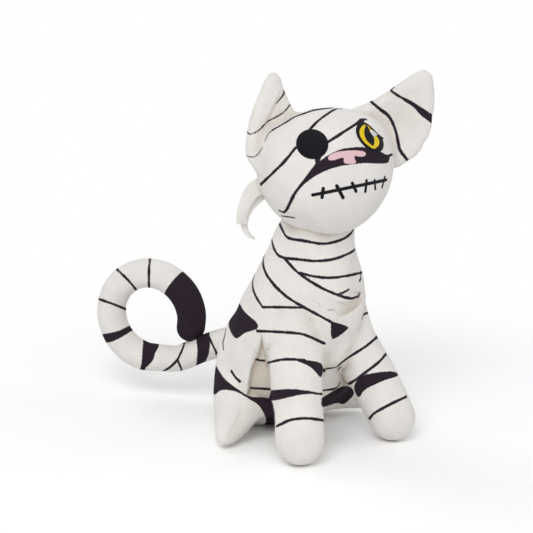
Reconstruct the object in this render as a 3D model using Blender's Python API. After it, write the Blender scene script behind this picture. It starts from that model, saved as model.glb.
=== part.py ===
"""A seated stuffed cat wrapped as a mummy: sewn plush covers over fibre stuffing.

Metres, +Z up. The cat faces -Y, so its own right side is at -X. The origin is the
centre of the flat seat panel, on the surface that the cat sits on. Each soft shape is
a skin of rings: covers are cut from the skin as shells, and the stuffing is a plainer
solid just inside it.
"""

import math

import bmesh
import bpy
from mathutils import Matrix, Vector
from mathutils.bvhtree import BVHTree

MM = 0.001

# Cloth, thread and clearances
FABRIC = 1.8 * MM
PIECE_GAP = 0.3 * MM
SEAT_SEAM = 1.5 * PIECE_GAP
PANEL_SEAM = 0.6 * PIECE_GAP
FILL_GAP = 0.5 * MM
TURN_GAP = 0.6 * MM
FLOOR_PRESS = 0.5 * MM
SHARP_ANGLE = math.radians(40)

# Torso, from the seat to the shoulders
SEAT_HALF_WIDTH = 25.5 * MM
SEAT_HALF_DEPTH = 21.5 * MM
SEAT_FLARE = 12.5 * MM
SEAT_FLARE_LEVEL = 7 * MM
FLARE_SETBACK = -1.5 * MM
HIP_LEVEL = 28 * MM
HIP_HALF_WIDTH = 46 * MM
HIP_HALF_DEPTH = 43 * MM
HIP_SETBACK = -5 * MM
WAIST_LEVEL = 58 * MM
WAIST_HALF_WIDTH = 44 * MM
WAIST_HALF_DEPTH = 44 * MM
WAIST_SETBACK = -14 * MM
WAIST_LEAN = math.radians(3)
CHEST_LEVEL = 88 * MM
CHEST_HALF_WIDTH = 40 * MM
CHEST_HALF_DEPTH = 39 * MM
CHEST_SETBACK = -29.5 * MM
CHEST_LEAN = math.radians(10)
TORSO_SIDES = 24
TORSO_RINGS = 11

# Neck, round about a leaning axis so that the head can turn on it
NECK_LEVEL = 141 * MM
NECK_SETBACK = -46 * MM
NECK_LEAN = math.radians(14)
NECK_RADIUS = 23.5 * MM
SHOULDER_RADIUS = 33.5 * MM
SHOULDER_DROP = 28 * MM
NECK_PLUG = 16 * MM

# The neck's own outline below its pivot: shares of the drop, and of the flare to the shoulders
NECK_FLARE = [(1.0, 1.0), (0.6, 0.56), (0.3, 0.23), (0.0, 0.0)]
# and above it: shares of the plug's height, and of the neck's radius
NECK_DOME = [(0.5, 0.94), (0.8, 0.76), (0.95, 0.42)]

# Head, in its own frame: +X to the cat's left, -Y to the face, +Z to the crown
HEAD_CENTRE_RISE = 38 * MM
HEAD_TURN = math.radians(-14)
HEAD_NOD = math.radians(10)
HEAD_TILT = math.radians(-8)
HEAD_HALF_WIDTH = 43 * MM
HEAD_HALF_HEIGHT = 40 * MM
HEAD_HALF_DEPTH = 37 * MM
CROWN_FULLNESS = 2.5
CHIN_FULLNESS = 1.85
HEAD_SIDES = 24
HEAD_RINGS = 11

# Ears, in the head's frame: the base's two ends, the middle of the round tip, and the
# points that pull the inner and the outer edge of the leaf
EAR_HALF_THICKNESS = 5.7 * MM
EAR_THINNING = 0.18
EAR_PAD_INSET = FABRIC + 2 * MM
EAR_PAD_MARGIN = 6 * MM
EAR_CUP = 6 * MM
EAR_CUP_START = 0.25
EAR_EDGE_FULLNESS = 0.7
EAR_ROOT_DEPTH = 7 * MM
EAR_TIP_RADIUS = 6.3 * MM
EAR_RINGS = 8
EAR_TIP_RINGS = 3
EAR_SIDES = 12
LEFT_EAR_HIGH = Vector((19, 4, 36)) * MM
LEFT_EAR_LOW = Vector((43, 5, -9)) * MM
LEFT_EAR_TIP = Vector((79.5, -1, 40.5)) * MM
LEFT_EAR_INNER = Vector((48, 2, 39)) * MM
LEFT_EAR_OUTER = Vector((86, 0, 2)) * MM
RIGHT_EAR_HIGH = Vector((-11, 4, 38)) * MM
RIGHT_EAR_LOW = Vector((-43, 4, 2)) * MM
RIGHT_EAR_TIP = Vector((-20.6, 8, 59.5)) * MM
RIGHT_EAR_INNER = Vector((-16, 5, 47)) * MM
RIGHT_EAR_OUTER = Vector((-59, 2, 30)) * MM

# Front legs, the cat's left one: the ball in the shoulder, the bend and the paw
LEG_BALL_RADIUS = 17 * MM
LEG_BALL = Vector((18.5, -41.5, 90)) * MM
LEG_UPPER_RADIUS = 17 * MM
LEG_UPPER = Vector((22.5, -47.5, 64)) * MM
LEG_LOWER_RADIUS = 16.4 * MM
LEG_LOWER = Vector((31, -60.5, 39)) * MM
PAW_RADIUS = 15.6 * MM
PAW_SPREAD = 37.6 * MM
PAW_FORWARD = -72 * MM
LEG_SIDES = 12
LEG_RINGS = 9
LEG_END_RINGS = 3
LEG_SWING = math.radians(20)
LEG_SWING_HEADING = math.radians(-55)

# Hind legs: a thigh sewn to the torso's side and a pointed foot splayed outwards
THIGH_TOP = Vector((24, 5, 74)) * MM
THIGH_TOP_RADIUS = 9 * MM
THIGH_TOP_DOME = 3.6 * MM
THIGH_UPPER = Vector((27.5, 2, 58)) * MM
THIGH_UPPER_RADIUS = 15.5 * MM
THIGH_LOWER = Vector((30, -3, 42)) * MM
THIGH_LOWER_RADIUS = 17.5 * MM
HOCK = Vector((34, -8, 26)) * MM
HOCK_RADIUS = 20 * MM
ANKLE = Vector((46, -15, 14)) * MM
ANKLE_RADIUS = 14.5 * MM
TOE_SPREAD = 57 * MM
TOE_FORWARD = -19 * MM
TOE_RADIUS = 5 * MM
TOE_DOME = 3.5 * MM
HIND_SIDE_HINT = Vector((1, 0, 0.2))
HIND_SIDES = 14
HIND_RINGS = 10
HIND_FILL_START = 4

# Tail: a root sewn into the back seam, a sagging stretch, then a ring back to the stretch
TAIL_ROOT_LEVEL = 43.7 * MM
TAIL_ROOT_SINK = 3 * MM
TAIL_ROOT_RADIUS = 10.4 * MM
TAIL_STRETCH_RADIUS = 8.7 * MM
TAIL_RADIUS = 9.75 * MM
TAIL_TIP_RADIUS = 9.2 * MM
TAIL_FULL_SPANS = 5
TAIL_SAG_REACH = 50 * MM
TAIL_SAG = 14 * MM
TAIL_RING_RADIUS = 29.9 * MM
TAIL_REACH = 70.8 * MM
TAIL_RING_RISE = 15.3 * MM
TAIL_RING_START = math.radians(-100)
TAIL_CURL = math.radians(195)
TAIL_HEADING = math.radians(33)
TAIL_SIDES = 10
TAIL_END_RINGS = 2
TAIL_STRETCH_STEPS = 3
TAIL_RING_STEPS = 14
TAIL_RINGS = 30
TAIL_SWING = math.radians(12)
TAIL_SUNK_RINGS = 6

# Filling
PELLET_BAG_HEIGHT = 20 * MM

# Embroidery on the face, in the head's frame, looking along +Y
THREAD = 0.6 * MM
PATCH_RINGS = 3
OVAL_SIDES = 20
PATCH_CENTRE = (-17.4 * MM, 20.8 * MM)
PATCH_HALF_WIDTH = 8.5 * MM
PATCH_HALF_HEIGHT = 7.9 * MM
EYE_CENTRE = (19.5 * MM, 17.6 * MM)
EYE_TILT = math.radians(-55)
EYE_HALF_LENGTH = 11.3 * MM
EYE_HALF_WIDTH = 8.2 * MM
IRIS_HALF_LENGTH = 8.8 * MM
IRIS_HALF_WIDTH = 6 * MM
PUPIL_HALF_LENGTH = 6.2 * MM
PUPIL_HALF_WIDTH = 3.4 * MM
GLINT_OFFSET = (3.6 * MM, 3 * MM)
GLINT_HALF_LENGTH = 3.6 * MM
GLINT_HALF_WIDTH = 1.5 * MM
MOUTH_HALF_LENGTH = 25 * MM
MOUTH_DROP = 9.2 * MM
MOUTH_THREAD_WIDTH = 1.5 * MM
CROSS_STITCHES = 6
CROSS_SPACING = 8.3 * MM
CROSS_LENGTH = 9 * MM
CROSS_THREAD_WIDTH = 1.2 * MM
CROSS_LEAN = math.radians(22)
STITCH_PITCH = 3 * MM

# Loose ends of bandage, in the head's frame, sewn in behind the right cheek
STRIP_THICKNESS = 0.9 * MM
STRIP_RINGS = 9
WIDE_STRIP_WIDTH = 11 * MM
WIDE_STRIP = [
    Vector((-33, 14, -0.5)) * MM,
    Vector((-42.4, 14, -1.5)) * MM,
    Vector((-47.5, 14, -6.9)) * MM,
    Vector((-51.6, 14, -14.4)) * MM,
    Vector((-53, 14, -20.2)) * MM,
]
NARROW_STRIP_WIDTH = 6 * MM
NARROW_STRIP_POINT = 2.4 * MM
NARROW_STRIP = [
    Vector((-35, 17.5, -6.5)) * MM,
    Vector((-45.5, 17.5, -13.2)) * MM,
    Vector((-50.4, 17.5, -19.9)) * MM,
    Vector((-50.8, 17.5, -26.8)) * MM,
    Vector((-47.7, 17.5, -32.5)) * MM,
]

# Closing stitches up the back seam, where the stuffing went in
CLOSING_LEVEL = 66 * MM
CLOSING_HEIGHT = 34 * MM
CLOSING_STITCHES = 7
CLOSING_HALF_WIDTH = 1.6 * MM
CLOSING_THREAD = 0.5 * MM
THREAD_SIDES = 6


def smooth(values, count):
    """Samples of a Catmull-Rom curve through the values, which may be numbers or vectors."""
    padded = [2 * values[0] - values[1], *values, 2 * values[-1] - values[-2]]
    spans = len(values) - 1
    samples = []
    for k in range(count):
        along = spans * k / (count - 1)
        span = min(int(along), spans - 1)
        t = along - span
        a, b, c, d = padded[span : span + 4]
        line = 2 * b + (c - a) * t
        bend = (2 * a - 5 * b + 4 * c - d) * t * t + (3 * b - a - 3 * c + d) * t**3
        samples.append(0.5 * (line + bend))
    return samples


def ring(centre, side, front_way, half_width, half_depth, count):
    """One cross-section: it starts at +side and passes the front a quarter turn later."""
    points = []
    for k in range(count):
        turn = math.tau * k / count
        across = side * (half_width * math.cos(turn))
        points.append(centre + across + front_way * (half_depth * math.sin(turn)))
    return points


def centre_of(points):
    return sum(points, Vector()) / len(points)


def other_way_round(points):
    """The same ring from the same start, running the other way."""
    return points[:1] + points[:0:-1]


class Skin:
    """A closed soft shape: rings of as many points each, and a point that closes each end."""

    def __init__(self, rings, first, last):
        self.rings = rings
        self.first = first
        self.last = last

    def points(self):
        return [p for one in self.rings for p in one] + [self.first, self.last]

    def faces(self):
        """Every face as (which ring it starts from, which side it is on, its corners)."""
        sides = len(self.rings[0])
        rows = len(self.rings)
        found = []
        for k in range(sides):
            n = (k + 1) % sides
            found.append((-1, k, (k, n, rows * sides)))
            for i in range(rows - 1):
                row, above = i * sides, (i + 1) * sides
                found.append((i, k, (row + k, above + k, above + n, row + n)))
            top = (rows - 1) * sides
            found.append((rows - 1, k, (top + n, top + k, rows * sides + 1)))
        return found

    def surface(self):
        """The skin as a surface that can be asked where a line meets it."""
        return BVHTree.FromPolygons(self.points(), [corners for _, _, corners in self.faces()])

    def rebuilt(self, points):
        sides = len(self.rings[0])
        rows = len(self.rings)
        rings = [points[i * sides : (i + 1) * sides] for i in range(rows)]
        return Skin(rings, points[rows * sides], points[rows * sides + 1])

    def shifted(self, distance):
        """The skin with each point moved along its normal, outwards if distance is positive."""
        mesh = filled_mesh(self.points(), [corners for _, _, corners in self.faces()])
        points = [v.co + v.normal * distance for v in mesh.verts]
        mesh.free()
        return self.rebuilt(points)

    def moved(self, matrix):
        return self.rebuilt([matrix @ p for p in self.points()])

    def mirrored(self):
        """The same shape on the cat's other side, its rings still running the same way round."""
        flipped = [[Vector((-p.x, p.y, p.z)) for p in other_way_round(one)] for one in self.rings]
        return Skin(flipped, *(Vector((-p.x, p.y, p.z)) for p in (self.first, self.last)))

    def coarse(self):
        """Every second point of every second ring, for stuffing that no one sees."""
        rows = self.rings[::2] if len(self.rings) % 2 else self.rings[:-1:2] + self.rings[-1:]
        return Skin([one[::2] for one in rows], self.first, self.last)

    def on_the_floor(self):
        """Flattened where it would reach below the floor, as a soft foot is by its own weight."""
        return self.rebuilt([Vector((p.x, p.y, max(p.z, 0.0))) for p in self.points()])


def filled_mesh(points, faces):
    """A mesh whose faces all point outwards."""
    mesh = bmesh.new()
    made = [mesh.verts.new(p) for p in points]
    for corners in faces:
        mesh.faces.new([made[i] for i in corners])
    bmesh.ops.recalc_face_normals(mesh, faces=mesh.faces)
    mesh.normal_update()
    return mesh


def material(name, colour, roughness):
    made = bpy.data.materials.new(name)
    made.use_nodes = True
    shader = made.node_tree.nodes["Principled BSDF"]
    shader.inputs["Base Color"].default_value = (*colour, 1)
    shader.inputs["Roughness"].default_value = roughness
    shader.inputs["Metallic"].default_value = 0
    return made


def mesh_object(name, mesh, group, finish=None):
    """Takes a mesh in world places, and hangs it from its group's empty where it already is."""
    bmesh.ops.dissolve_degenerate(mesh, dist=0.01 * MM, edges=mesh.edges)
    mesh.transform(group.matrix_world.inverted())
    data = bpy.data.meshes.new(name)
    mesh.to_mesh(data)
    mesh.free()
    data.shade_smooth()
    data.set_sharp_from_angle(angle=SHARP_ANGLE)
    made = bpy.data.objects.new(name, data)
    bpy.context.scene.collection.objects.link(made)
    made.parent = group
    if finish:
        data.materials.append(finish)
    return made


def skin_object(name, skin, group, finish=None):
    return mesh_object(name, filled_mesh(skin.points(), [c for _, _, c in skin.faces()]), group, finish)


def helper(made):
    """Marks an object that only shapes others."""
    made.hide_render = True
    made.display_type = "WIRE"
    return made


def boolean(target, operation, *others):
    for other in others:
        change = target.modifiers.new(other.name, "BOOLEAN")
        change.operation = operation
        change.solver = "EXACT"
        change.object = other


def group_at(name, location, parent=None):
    """An empty on a joint's axis, from which the pieces that move together hang."""
    empty = bpy.data.objects.new(name, None)
    bpy.context.scene.collection.objects.link(empty)
    empty.parent = parent
    empty.location = location - (parent.matrix_world.translation if parent else Vector())
    bpy.context.view_layer.update()
    return empty


def panel(name, skin, keep, group, finish):
    """A cover cut from the kept faces of a skin: outer side, inner side and cut edges.

    Its edges are drawn in a little, so that two panels meet in a seam without touching.
    """
    points = skin.points()
    inner_points = skin.shifted(-FABRIC).points()
    kept = []
    for row, side, corners in skin.faces():
        if keep(row, side, centre_of([points[i] for i in corners])):
            kept.append(corners)
    used = sorted({i for corners in kept for i in corners})
    number = {old: new for new, old in enumerate(used)}
    fronts = [tuple(number[i] for i in corners) for corners in kept]
    edges = {}
    for corners in fronts:
        for a, b in zip(corners, corners[1:] + corners[:1]):
            edges.setdefault(frozenset((a, b)), []).append((a, b))
    rim_edges = [ends[0] for ends in edges.values() if len(ends) == 1]
    layers = [drawn_in([layer[i] for i in used], fronts, rim_edges) for layer in (points, inner_points)]
    total = len(used)
    backs = [tuple(total + i for i in reversed(corners)) for corners in fronts]
    rims = [(b, a, total + a, total + b) for a, b in rim_edges]
    return mesh_object(name, filled_mesh(layers[0] + layers[1], fronts + backs + rims), group, finish)


def drawn_in(points, faces, rim_edges):
    """Moves each point on the rim a little way towards the inside of its own panel."""
    on_rim = {}
    for a, b in rim_edges:
        for here, there in ((a, b), (b, a)):
            on_rim.setdefault(here, []).append(there)
    inside = {i: [] for i in on_rim}
    for corners in faces:
        for i in corners:
            if i in on_rim:
                inside[i].append(centre_of([points[j] for j in corners]))
    moved = [p.copy() for p in points]
    for i, neighbours in on_rim.items():
        way = centre_of(inside[i]) - points[i]
        if len(neighbours) == 2:
            along = (points[neighbours[0]] - points[neighbours[1]]).normalized()
            way = way - along * way.dot(along)
        moved[i] = points[i] + way.normalized() * PANEL_SEAM
    return moved


def swept_cutter(name, skins, group):
    """The space that a swinging limb's root needs: the hull of its places from rest to limit."""
    mesh = bmesh.new()
    for skin in skins:
        for p in skin.points():
            mesh.verts.new(p)
    result = bmesh.ops.convex_hull(mesh, input=mesh.verts)
    unused = [v for v in result["geom_interior"] if isinstance(v, bmesh.types.BMVert)]
    bmesh.ops.delete(mesh, geom=unused, context="VERTS")
    bmesh.ops.recalc_face_normals(mesh, faces=mesh.faces)
    return helper(mesh_object(name, mesh, group))


def limb(centres, widths, side_hint, sides):
    """Round rings square to a line of centres."""
    rings = []
    for k, (centre, width) in enumerate(zip(centres, widths)):
        before = centres[max(k - 1, 0)]
        after = centres[min(k + 1, len(centres) - 1)]
        along = (after - before).normalized()
        side = (side_hint - along * side_hint.dot(along)).normalized()
        rings.append(ring(centre, side, along.cross(side), width, width, sides))
    return rings


def rounded_end(centre, along, radius, side_hint, sides, count):
    """Rings that close a limb with a half ball, from its rim outwards, and the ball's pole."""
    side = (side_hint - along * side_hint.dot(along)).normalized()
    rings = []
    for k in range(1, count + 1):
        turn = math.radians(90) * k / (count + 1)
        wide = radius * math.cos(turn)
        at = centre + along * (radius * math.sin(turn))
        rings.append(ring(at, side, along.cross(side), wide, wide, sides))
    return rings, centre + along * radius


# Torso


def neck_axis():
    return Vector((0, -math.sin(NECK_LEAN), math.cos(NECK_LEAN)))


def neck_pivot():
    return Vector((0, NECK_SETBACK, NECK_LEVEL))


def neck_rings(extra):
    """The turned neck, from the shoulders to its rounded top, widened all over by extra."""
    flare = SHOULDER_RADIUS - NECK_RADIUS
    profile = [(-SHOULDER_DROP * drop, NECK_RADIUS + flare * share) for drop, share in NECK_FLARE]
    profile += [((NECK_PLUG + extra) * rise, NECK_RADIUS * share) for rise, share in NECK_DOME]
    front_way = Vector((0, -math.cos(NECK_LEAN), -math.sin(NECK_LEAN)))
    rings = []
    for rise, radius in profile:
        wide = radius + extra
        centre = neck_pivot() + neck_axis() * rise
        rings.append(ring(centre, Vector((1, 0, 0)), front_way, wide, wide, TORSO_SIDES))
    return rings, neck_pivot() + neck_axis() * (NECK_PLUG + extra)


def torso_skin():
    """Egg-shaped sections up a spine that leans forwards, then the round neck."""
    shoulder = neck_pivot() - neck_axis() * SHOULDER_DROP
    levels = [0.0, SEAT_FLARE_LEVEL, HIP_LEVEL, WAIST_LEVEL, CHEST_LEVEL, shoulder.z]
    setbacks = [0.0, FLARE_SETBACK, HIP_SETBACK, WAIST_SETBACK, CHEST_SETBACK, shoulder.y]
    seat_widths = [SEAT_HALF_WIDTH, SEAT_HALF_WIDTH + SEAT_FLARE]
    seat_depths = [SEAT_HALF_DEPTH, SEAT_HALF_DEPTH + SEAT_FLARE]
    widths = seat_widths + [HIP_HALF_WIDTH, WAIST_HALF_WIDTH, CHEST_HALF_WIDTH, SHOULDER_RADIUS]
    depths = seat_depths + [HIP_HALF_DEPTH, WAIST_HALF_DEPTH, CHEST_HALF_DEPTH, SHOULDER_RADIUS]
    leans = [0, 0, 0, WAIST_LEAN, CHEST_LEAN, NECK_LEAN]
    columns = [smooth(column, TORSO_RINGS) for column in (levels, setbacks, widths, depths, leans)]
    rings = []
    for level, setback, width, depth, lean in zip(*columns):
        front_way = Vector((0, -math.cos(lean), -math.sin(lean)))
        centre = Vector((0, setback, level))
        rings.append(ring(centre, Vector((1, 0, 0)), front_way, width, depth, TORSO_SIDES))
    necks, top = neck_rings(0)
    return Skin(rings[:-1] + necks, Vector(), top)


def make_torso(torso, group, plush, fibre, canvas):
    """Two side panels that meet in the centre seams, the seat panel and what fills them."""
    quarter = TORSO_SIDES // 4
    panels = []
    for name, wanted in (("torso_panel_left", True), ("torso_panel_right", False)):

        def keep(row, side, middle):
            on_left = side < quarter or side >= 3 * quarter
            return row >= 0 and on_left == wanted

        panels.append(panel(name, torso, keep, group, plush))

    inner = torso.shifted(-FABRIC)
    lower = [closer_in(p, SEAT_SEAM) for p in torso.rings[0]]
    upper = [closer_in(p, SEAT_SEAM) for p in inner.rings[0]]
    middle = Vector((0, 0, upper[0].z))
    skin_object("seat_panel", Skin([lower, upper], Vector(), middle), group, plush)

    core = torso.shifted(-FABRIC - FILL_GAP).coarse()
    floor = FABRIC + FILL_GAP
    levels = (floor, (floor + PELLET_BAG_HEIGHT) / 2, PELLET_BAG_HEIGHT)
    bag_top = Vector((0, FLARE_SETBACK, PELLET_BAG_HEIGHT))
    bag = Skin([outline_at(core, level) for level in levels], Vector((0, 0, floor)), bag_top)
    skin_object("pellet_bag", bag, group, canvas)

    above = bag_top + Vector((0, 0, FILL_GAP))
    rings = [one for one in core.rings if min(p.z for p in one) > above.z + FILL_GAP]
    stuffing = Skin([outline_at(core, above.z), *rings], above, core.last)
    return panels, skin_object("torso_stuffing", stuffing, group, fibre)


def closer_in(point, distance):
    """The point moved level towards the torso's middle line."""
    return point + (Vector((0, 0, point.z)) - point).normalized() * distance


def outline_at(skin, level):
    """The level outline of a skin, read between the two rings that it lies between."""
    outline = []
    for k in range(len(skin.rings[0])):
        column = [one[k] for one in skin.rings]
        for low, high in zip(column, column[1:]):
            if low.z <= level <= high.z:
                outline.append(low.lerp(high, (level - low.z) / (high.z - low.z)))
                break
        else:
            outline.append(Vector((column[0].x, column[0].y, level)))
    return outline


def make_closing_stitches(torso, group, thread):
    """One thread that zigzags over the back seam."""
    tree = torso.surface()
    centres = []
    for k in range(2 * CLOSING_STITCHES + 1):
        level = CLOSING_LEVEL + CLOSING_HEIGHT * k / (2 * CLOSING_STITCHES)
        across = CLOSING_HALF_WIDTH * (-1) ** k
        start = Vector((across, HIP_HALF_DEPTH * 2, level))
        hit, normal, _, _ = tree.ray_cast(start, Vector((0, -1, 0)))
        centres.append(hit + normal * (CLOSING_THREAD + PIECE_GAP))
    widths = [CLOSING_THREAD] * len(centres)
    rings = limb(centres, widths, Vector((0, 1, 0)), THREAD_SIDES)
    skin_object("closing_stitches", Skin(rings, centres[0], centres[-1]), group, thread)


# Head


def head_frame():
    """Carries the head's own axes to where the head sits: turned, lifted and leaning."""
    turn = Matrix.Rotation(HEAD_TURN, 4, "Z")
    nod = Matrix.Rotation(-HEAD_NOD, 4, "X")
    tilt = Matrix.Rotation(HEAD_TILT, 4, "Y")
    centre = neck_pivot() + tilt @ (neck_axis() * HEAD_CENTRE_RISE)
    return Matrix.Translation(centre) @ turn @ nod @ tilt


def head_skin():
    """A rounded head, full at the crown and narrower at the chin, in its own frame."""
    rings = []
    for i in range(1, HEAD_RINGS + 1):
        rise = -math.cos(math.pi * i / (HEAD_RINGS + 1))
        fullness = CROWN_FULLNESS if rise > 0 else CHIN_FULLNESS
        share = (1 - abs(rise) ** fullness) ** (1 / fullness)
        depth = math.sqrt(1 - rise * rise) * HEAD_HALF_DEPTH
        centre = Vector((0, 0, rise * HEAD_HALF_HEIGHT))
        width = share * HEAD_HALF_WIDTH
        rings.append(ring(centre, Vector((1, 0, 0)), Vector((0, -1, 0)), width, depth, HEAD_SIDES))
    return Skin(rings, Vector((0, 0, -HEAD_HALF_HEIGHT)), Vector((0, 0, HEAD_HALF_HEIGHT)))


def make_head(group, plush, fibre):
    """A face panel and a back panel that meet in a seam over the crown, and the stuffing."""
    frame = head_frame()
    head = head_skin().moved(frame)
    rings, top = neck_rings(TURN_GAP)
    socket = helper(skin_object("neck_socket", Skin(rings, centre_of(rings[0]), top), group))
    for name, wanted in (("face_panel", True), ("head_back_panel", False)):

        def keep(row, side, middle):
            return (side < HEAD_SIDES // 2) == wanted

        cover = panel(name, head, keep, group, plush)
        boolean(cover, "DIFFERENCE", socket)
    stuffing = skin_object("head_stuffing", head.shifted(-FABRIC - FILL_GAP).coarse(), group, fibre)
    boolean(stuffing, "DIFFERENCE", socket)
    return head, frame


def ear_skin(high, low, tip, inner, outer, inset, margin):
    """A cupped leaf: it runs from its base to its round tip, thick inside and thin at its edges."""
    middle = (high + low) / 2
    back_way = (high - low).cross(tip - middle).normalized()
    if back_way.y < 0:
        back_way = -back_way
    upper_way = (tip - inner).cross(back_way).normalized()
    if upper_way.dot(outer - tip) > 0:
        upper_way = -upper_way
    lower_way = (tip - outer).cross(back_way).normalized()
    if lower_way.dot(inner - tip) > 0:
        lower_way = -lower_way
    tip_way = (upper_way + lower_way).normalized()
    edges = []
    for i in range(EAR_RINGS):
        t = i / (EAR_RINGS - 1)
        upper = bezier(high, inner, tip + upper_way * EAR_TIP_RADIUS, t)
        lower = bezier(low, outer, tip + lower_way * EAR_TIP_RADIUS, t)
        edges.append((upper, lower, t))
    for k in range(1, EAR_TIP_RINGS):
        share = k / EAR_TIP_RINGS
        upper = tip + upper_way.lerp(tip_way, share).normalized() * EAR_TIP_RADIUS
        lower = tip + lower_way.lerp(tip_way, share).normalized() * EAR_TIP_RADIUS
        edges.append((upper, lower, 1))
    end_width = (edges[EAR_RINGS - 1][0] - edges[EAR_RINGS - 1][1]).length
    rings = []
    for i, (upper, lower, t) in enumerate(edges):
        sink = -middle.normalized() * EAR_ROOT_DEPTH if i == 0 else Vector()
        centre, across = (upper + lower) / 2 + sink, (upper - lower) / 2
        narrow = max(0, 1 - margin / across.length)
        closing = math.sqrt(min(1, 2 * across.length / end_width))
        fullness = 1 - EAR_THINNING * (1 - math.sin(math.pi * t))
        thick = (EAR_HALF_THICKNESS - inset) * fullness * closing
        cup = EAR_CUP * math.sin(math.pi * (EAR_CUP_START + t * (1 - EAR_CUP_START)))
        points = []
        for k in range(EAR_SIDES):
            turn = math.tau * k / EAR_SIDES
            aside = narrow * math.cos(turn)
            bulge = math.copysign(abs(math.sin(turn)) ** EAR_EDGE_FULLNESS, math.sin(turn)) * thick
            points.append(centre + across * aside + back_way * (cup * (1 - aside**2) - bulge))
        rings.append(points)
    return Skin(rings, centre_of(rings[0]), tip + tip_way * EAR_TIP_RADIUS)


def bezier(start, pull, end, t):
    return start * (1 - t) ** 2 + pull * (2 * t * (1 - t)) + end * t * t


def make_ears(seat, frame, group, plush, fibre):
    """Each ear has a front and a back cover and a thin pad, all cut to sit on the head."""
    ears = (
        ("left", LEFT_EAR_HIGH, LEFT_EAR_LOW, LEFT_EAR_TIP, LEFT_EAR_INNER, LEFT_EAR_OUTER),
        ("right", RIGHT_EAR_HIGH, RIGHT_EAR_LOW, RIGHT_EAR_TIP, RIGHT_EAR_INNER, RIGHT_EAR_OUTER),
    )
    for side_name, *corners in ears:
        ear = ear_skin(*corners, 0, 0).moved(frame)
        for layer, wanted in (("front", True), ("back", False)):

            def keep(row, side, middle):
                return row >= 0 and (side < EAR_SIDES // 2) == wanted

            boolean(panel(f"ear_{layer}_{side_name}", ear, keep, group, plush), "DIFFERENCE", seat)
        inside = ear_skin(*corners, EAR_PAD_INSET, EAR_PAD_MARGIN).moved(frame)
        leaf = inside.rings[: EAR_RINGS - 1]
        filling = Skin(leaf, inside.first, centre_of(inside.rings[EAR_RINGS - 1]))
        pad = skin_object(f"ear_padding_{side_name}", filling, group, fibre)
        boolean(pad, "DIFFERENCE", seat)


# Embroidery


class Face:
    """Lays flat designs on the front of the head, looking along +Y in the head's frame."""

    def __init__(self, head, frame, group):
        self.frame = frame
        self.group = group
        self.tree = head.surface()

    def lifted(self, x, z, height):
        start = self.frame @ Vector((x, -3 * HEAD_HALF_DEPTH, z))
        hit, normal, _, _ = self.tree.ray_cast(start, self.frame.to_3x3() @ Vector((0, 1, 0)))
        return hit + normal * height

    def patch(self, name, loops, finish, height, centre=None):
        """A stitched area between the first and the last loop, or round a centre if it has one."""
        count = len(loops[0])
        flat = [p for loop in loops for p in loop] + ([centre] if centre else [])
        low = [self.lifted(x, z, height) for x, z in flat]
        high = [self.lifted(x, z, height + THREAD) for x, z in flat]
        total = len(flat)
        faces = []
        for i in range(len(loops) - 1):
            for k in range(count):
                n = (k + 1) % count
                faces.append((i * count + k, i * count + n, (i + 1) * count + n, (i + 1) * count + k))
        if centre:
            faces += [(k, (k + 1) % count, total - 1) for k in range(count)]
        others = [tuple(total + i for i in reversed(corners)) for corners in faces]
        rims = []
        for row in (len(loops) - 1,) if centre else (0, len(loops) - 1):
            edge = [row * count + k for k in range(count)]
            for a, b in zip(edge, edge[1:] + edge[:1]):
                rims.append((a, b, total + b, total + a))
        return mesh_object(name, filled_mesh(low + high, faces + others + rims), self.group, finish)

    def bar(self, name, start, end, width, height, finish=None):
        """A straight run of thread, its width laid square to its length."""
        (x0, z0), (x1, z1) = start, end
        length = math.hypot(x1 - x0, z1 - z0)
        steps = max(2, round(length / STITCH_PITCH))
        off_x, off_z = -(z1 - z0) / length * width / 2, (x1 - x0) / length * width / 2
        there, back = [], []
        for k in range(steps + 1):
            x, z = x0 + (x1 - x0) * k / steps, z0 + (z1 - z0) * k / steps
            there.append((x + off_x, z + off_z))
            back.append((x - off_x, z - off_z))
        flat = there + back
        low = [self.lifted(x, z, height) for x, z in flat]
        high = [self.lifted(x, z, height + THREAD) for x, z in flat]
        total = len(flat)
        faces = [(k, k + 1, steps + 2 + k, steps + 1 + k) for k in range(steps)]
        others = [tuple(total + i for i in reversed(corners)) for corners in faces]
        edge = list(range(steps + 1)) + list(range(2 * steps + 1, steps, -1))
        rims = [(a, b, total + b, total + a) for a, b in zip(edge, edge[1:] + edge[:1])]
        return mesh_object(name, filled_mesh(low + high, faces + others + rims), self.group, finish)


def oval(centre, half_length, half_width, tilt, count):
    points = []
    for k in range(count):
        turn = math.tau * k / count
        along, across = half_length * math.cos(turn), half_width * math.sin(turn)
        x = centre[0] + along * math.cos(tilt) - across * math.sin(tilt)
        points.append((x, centre[1] + along * math.sin(tilt) + across * math.cos(tilt)))
    return points


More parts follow.
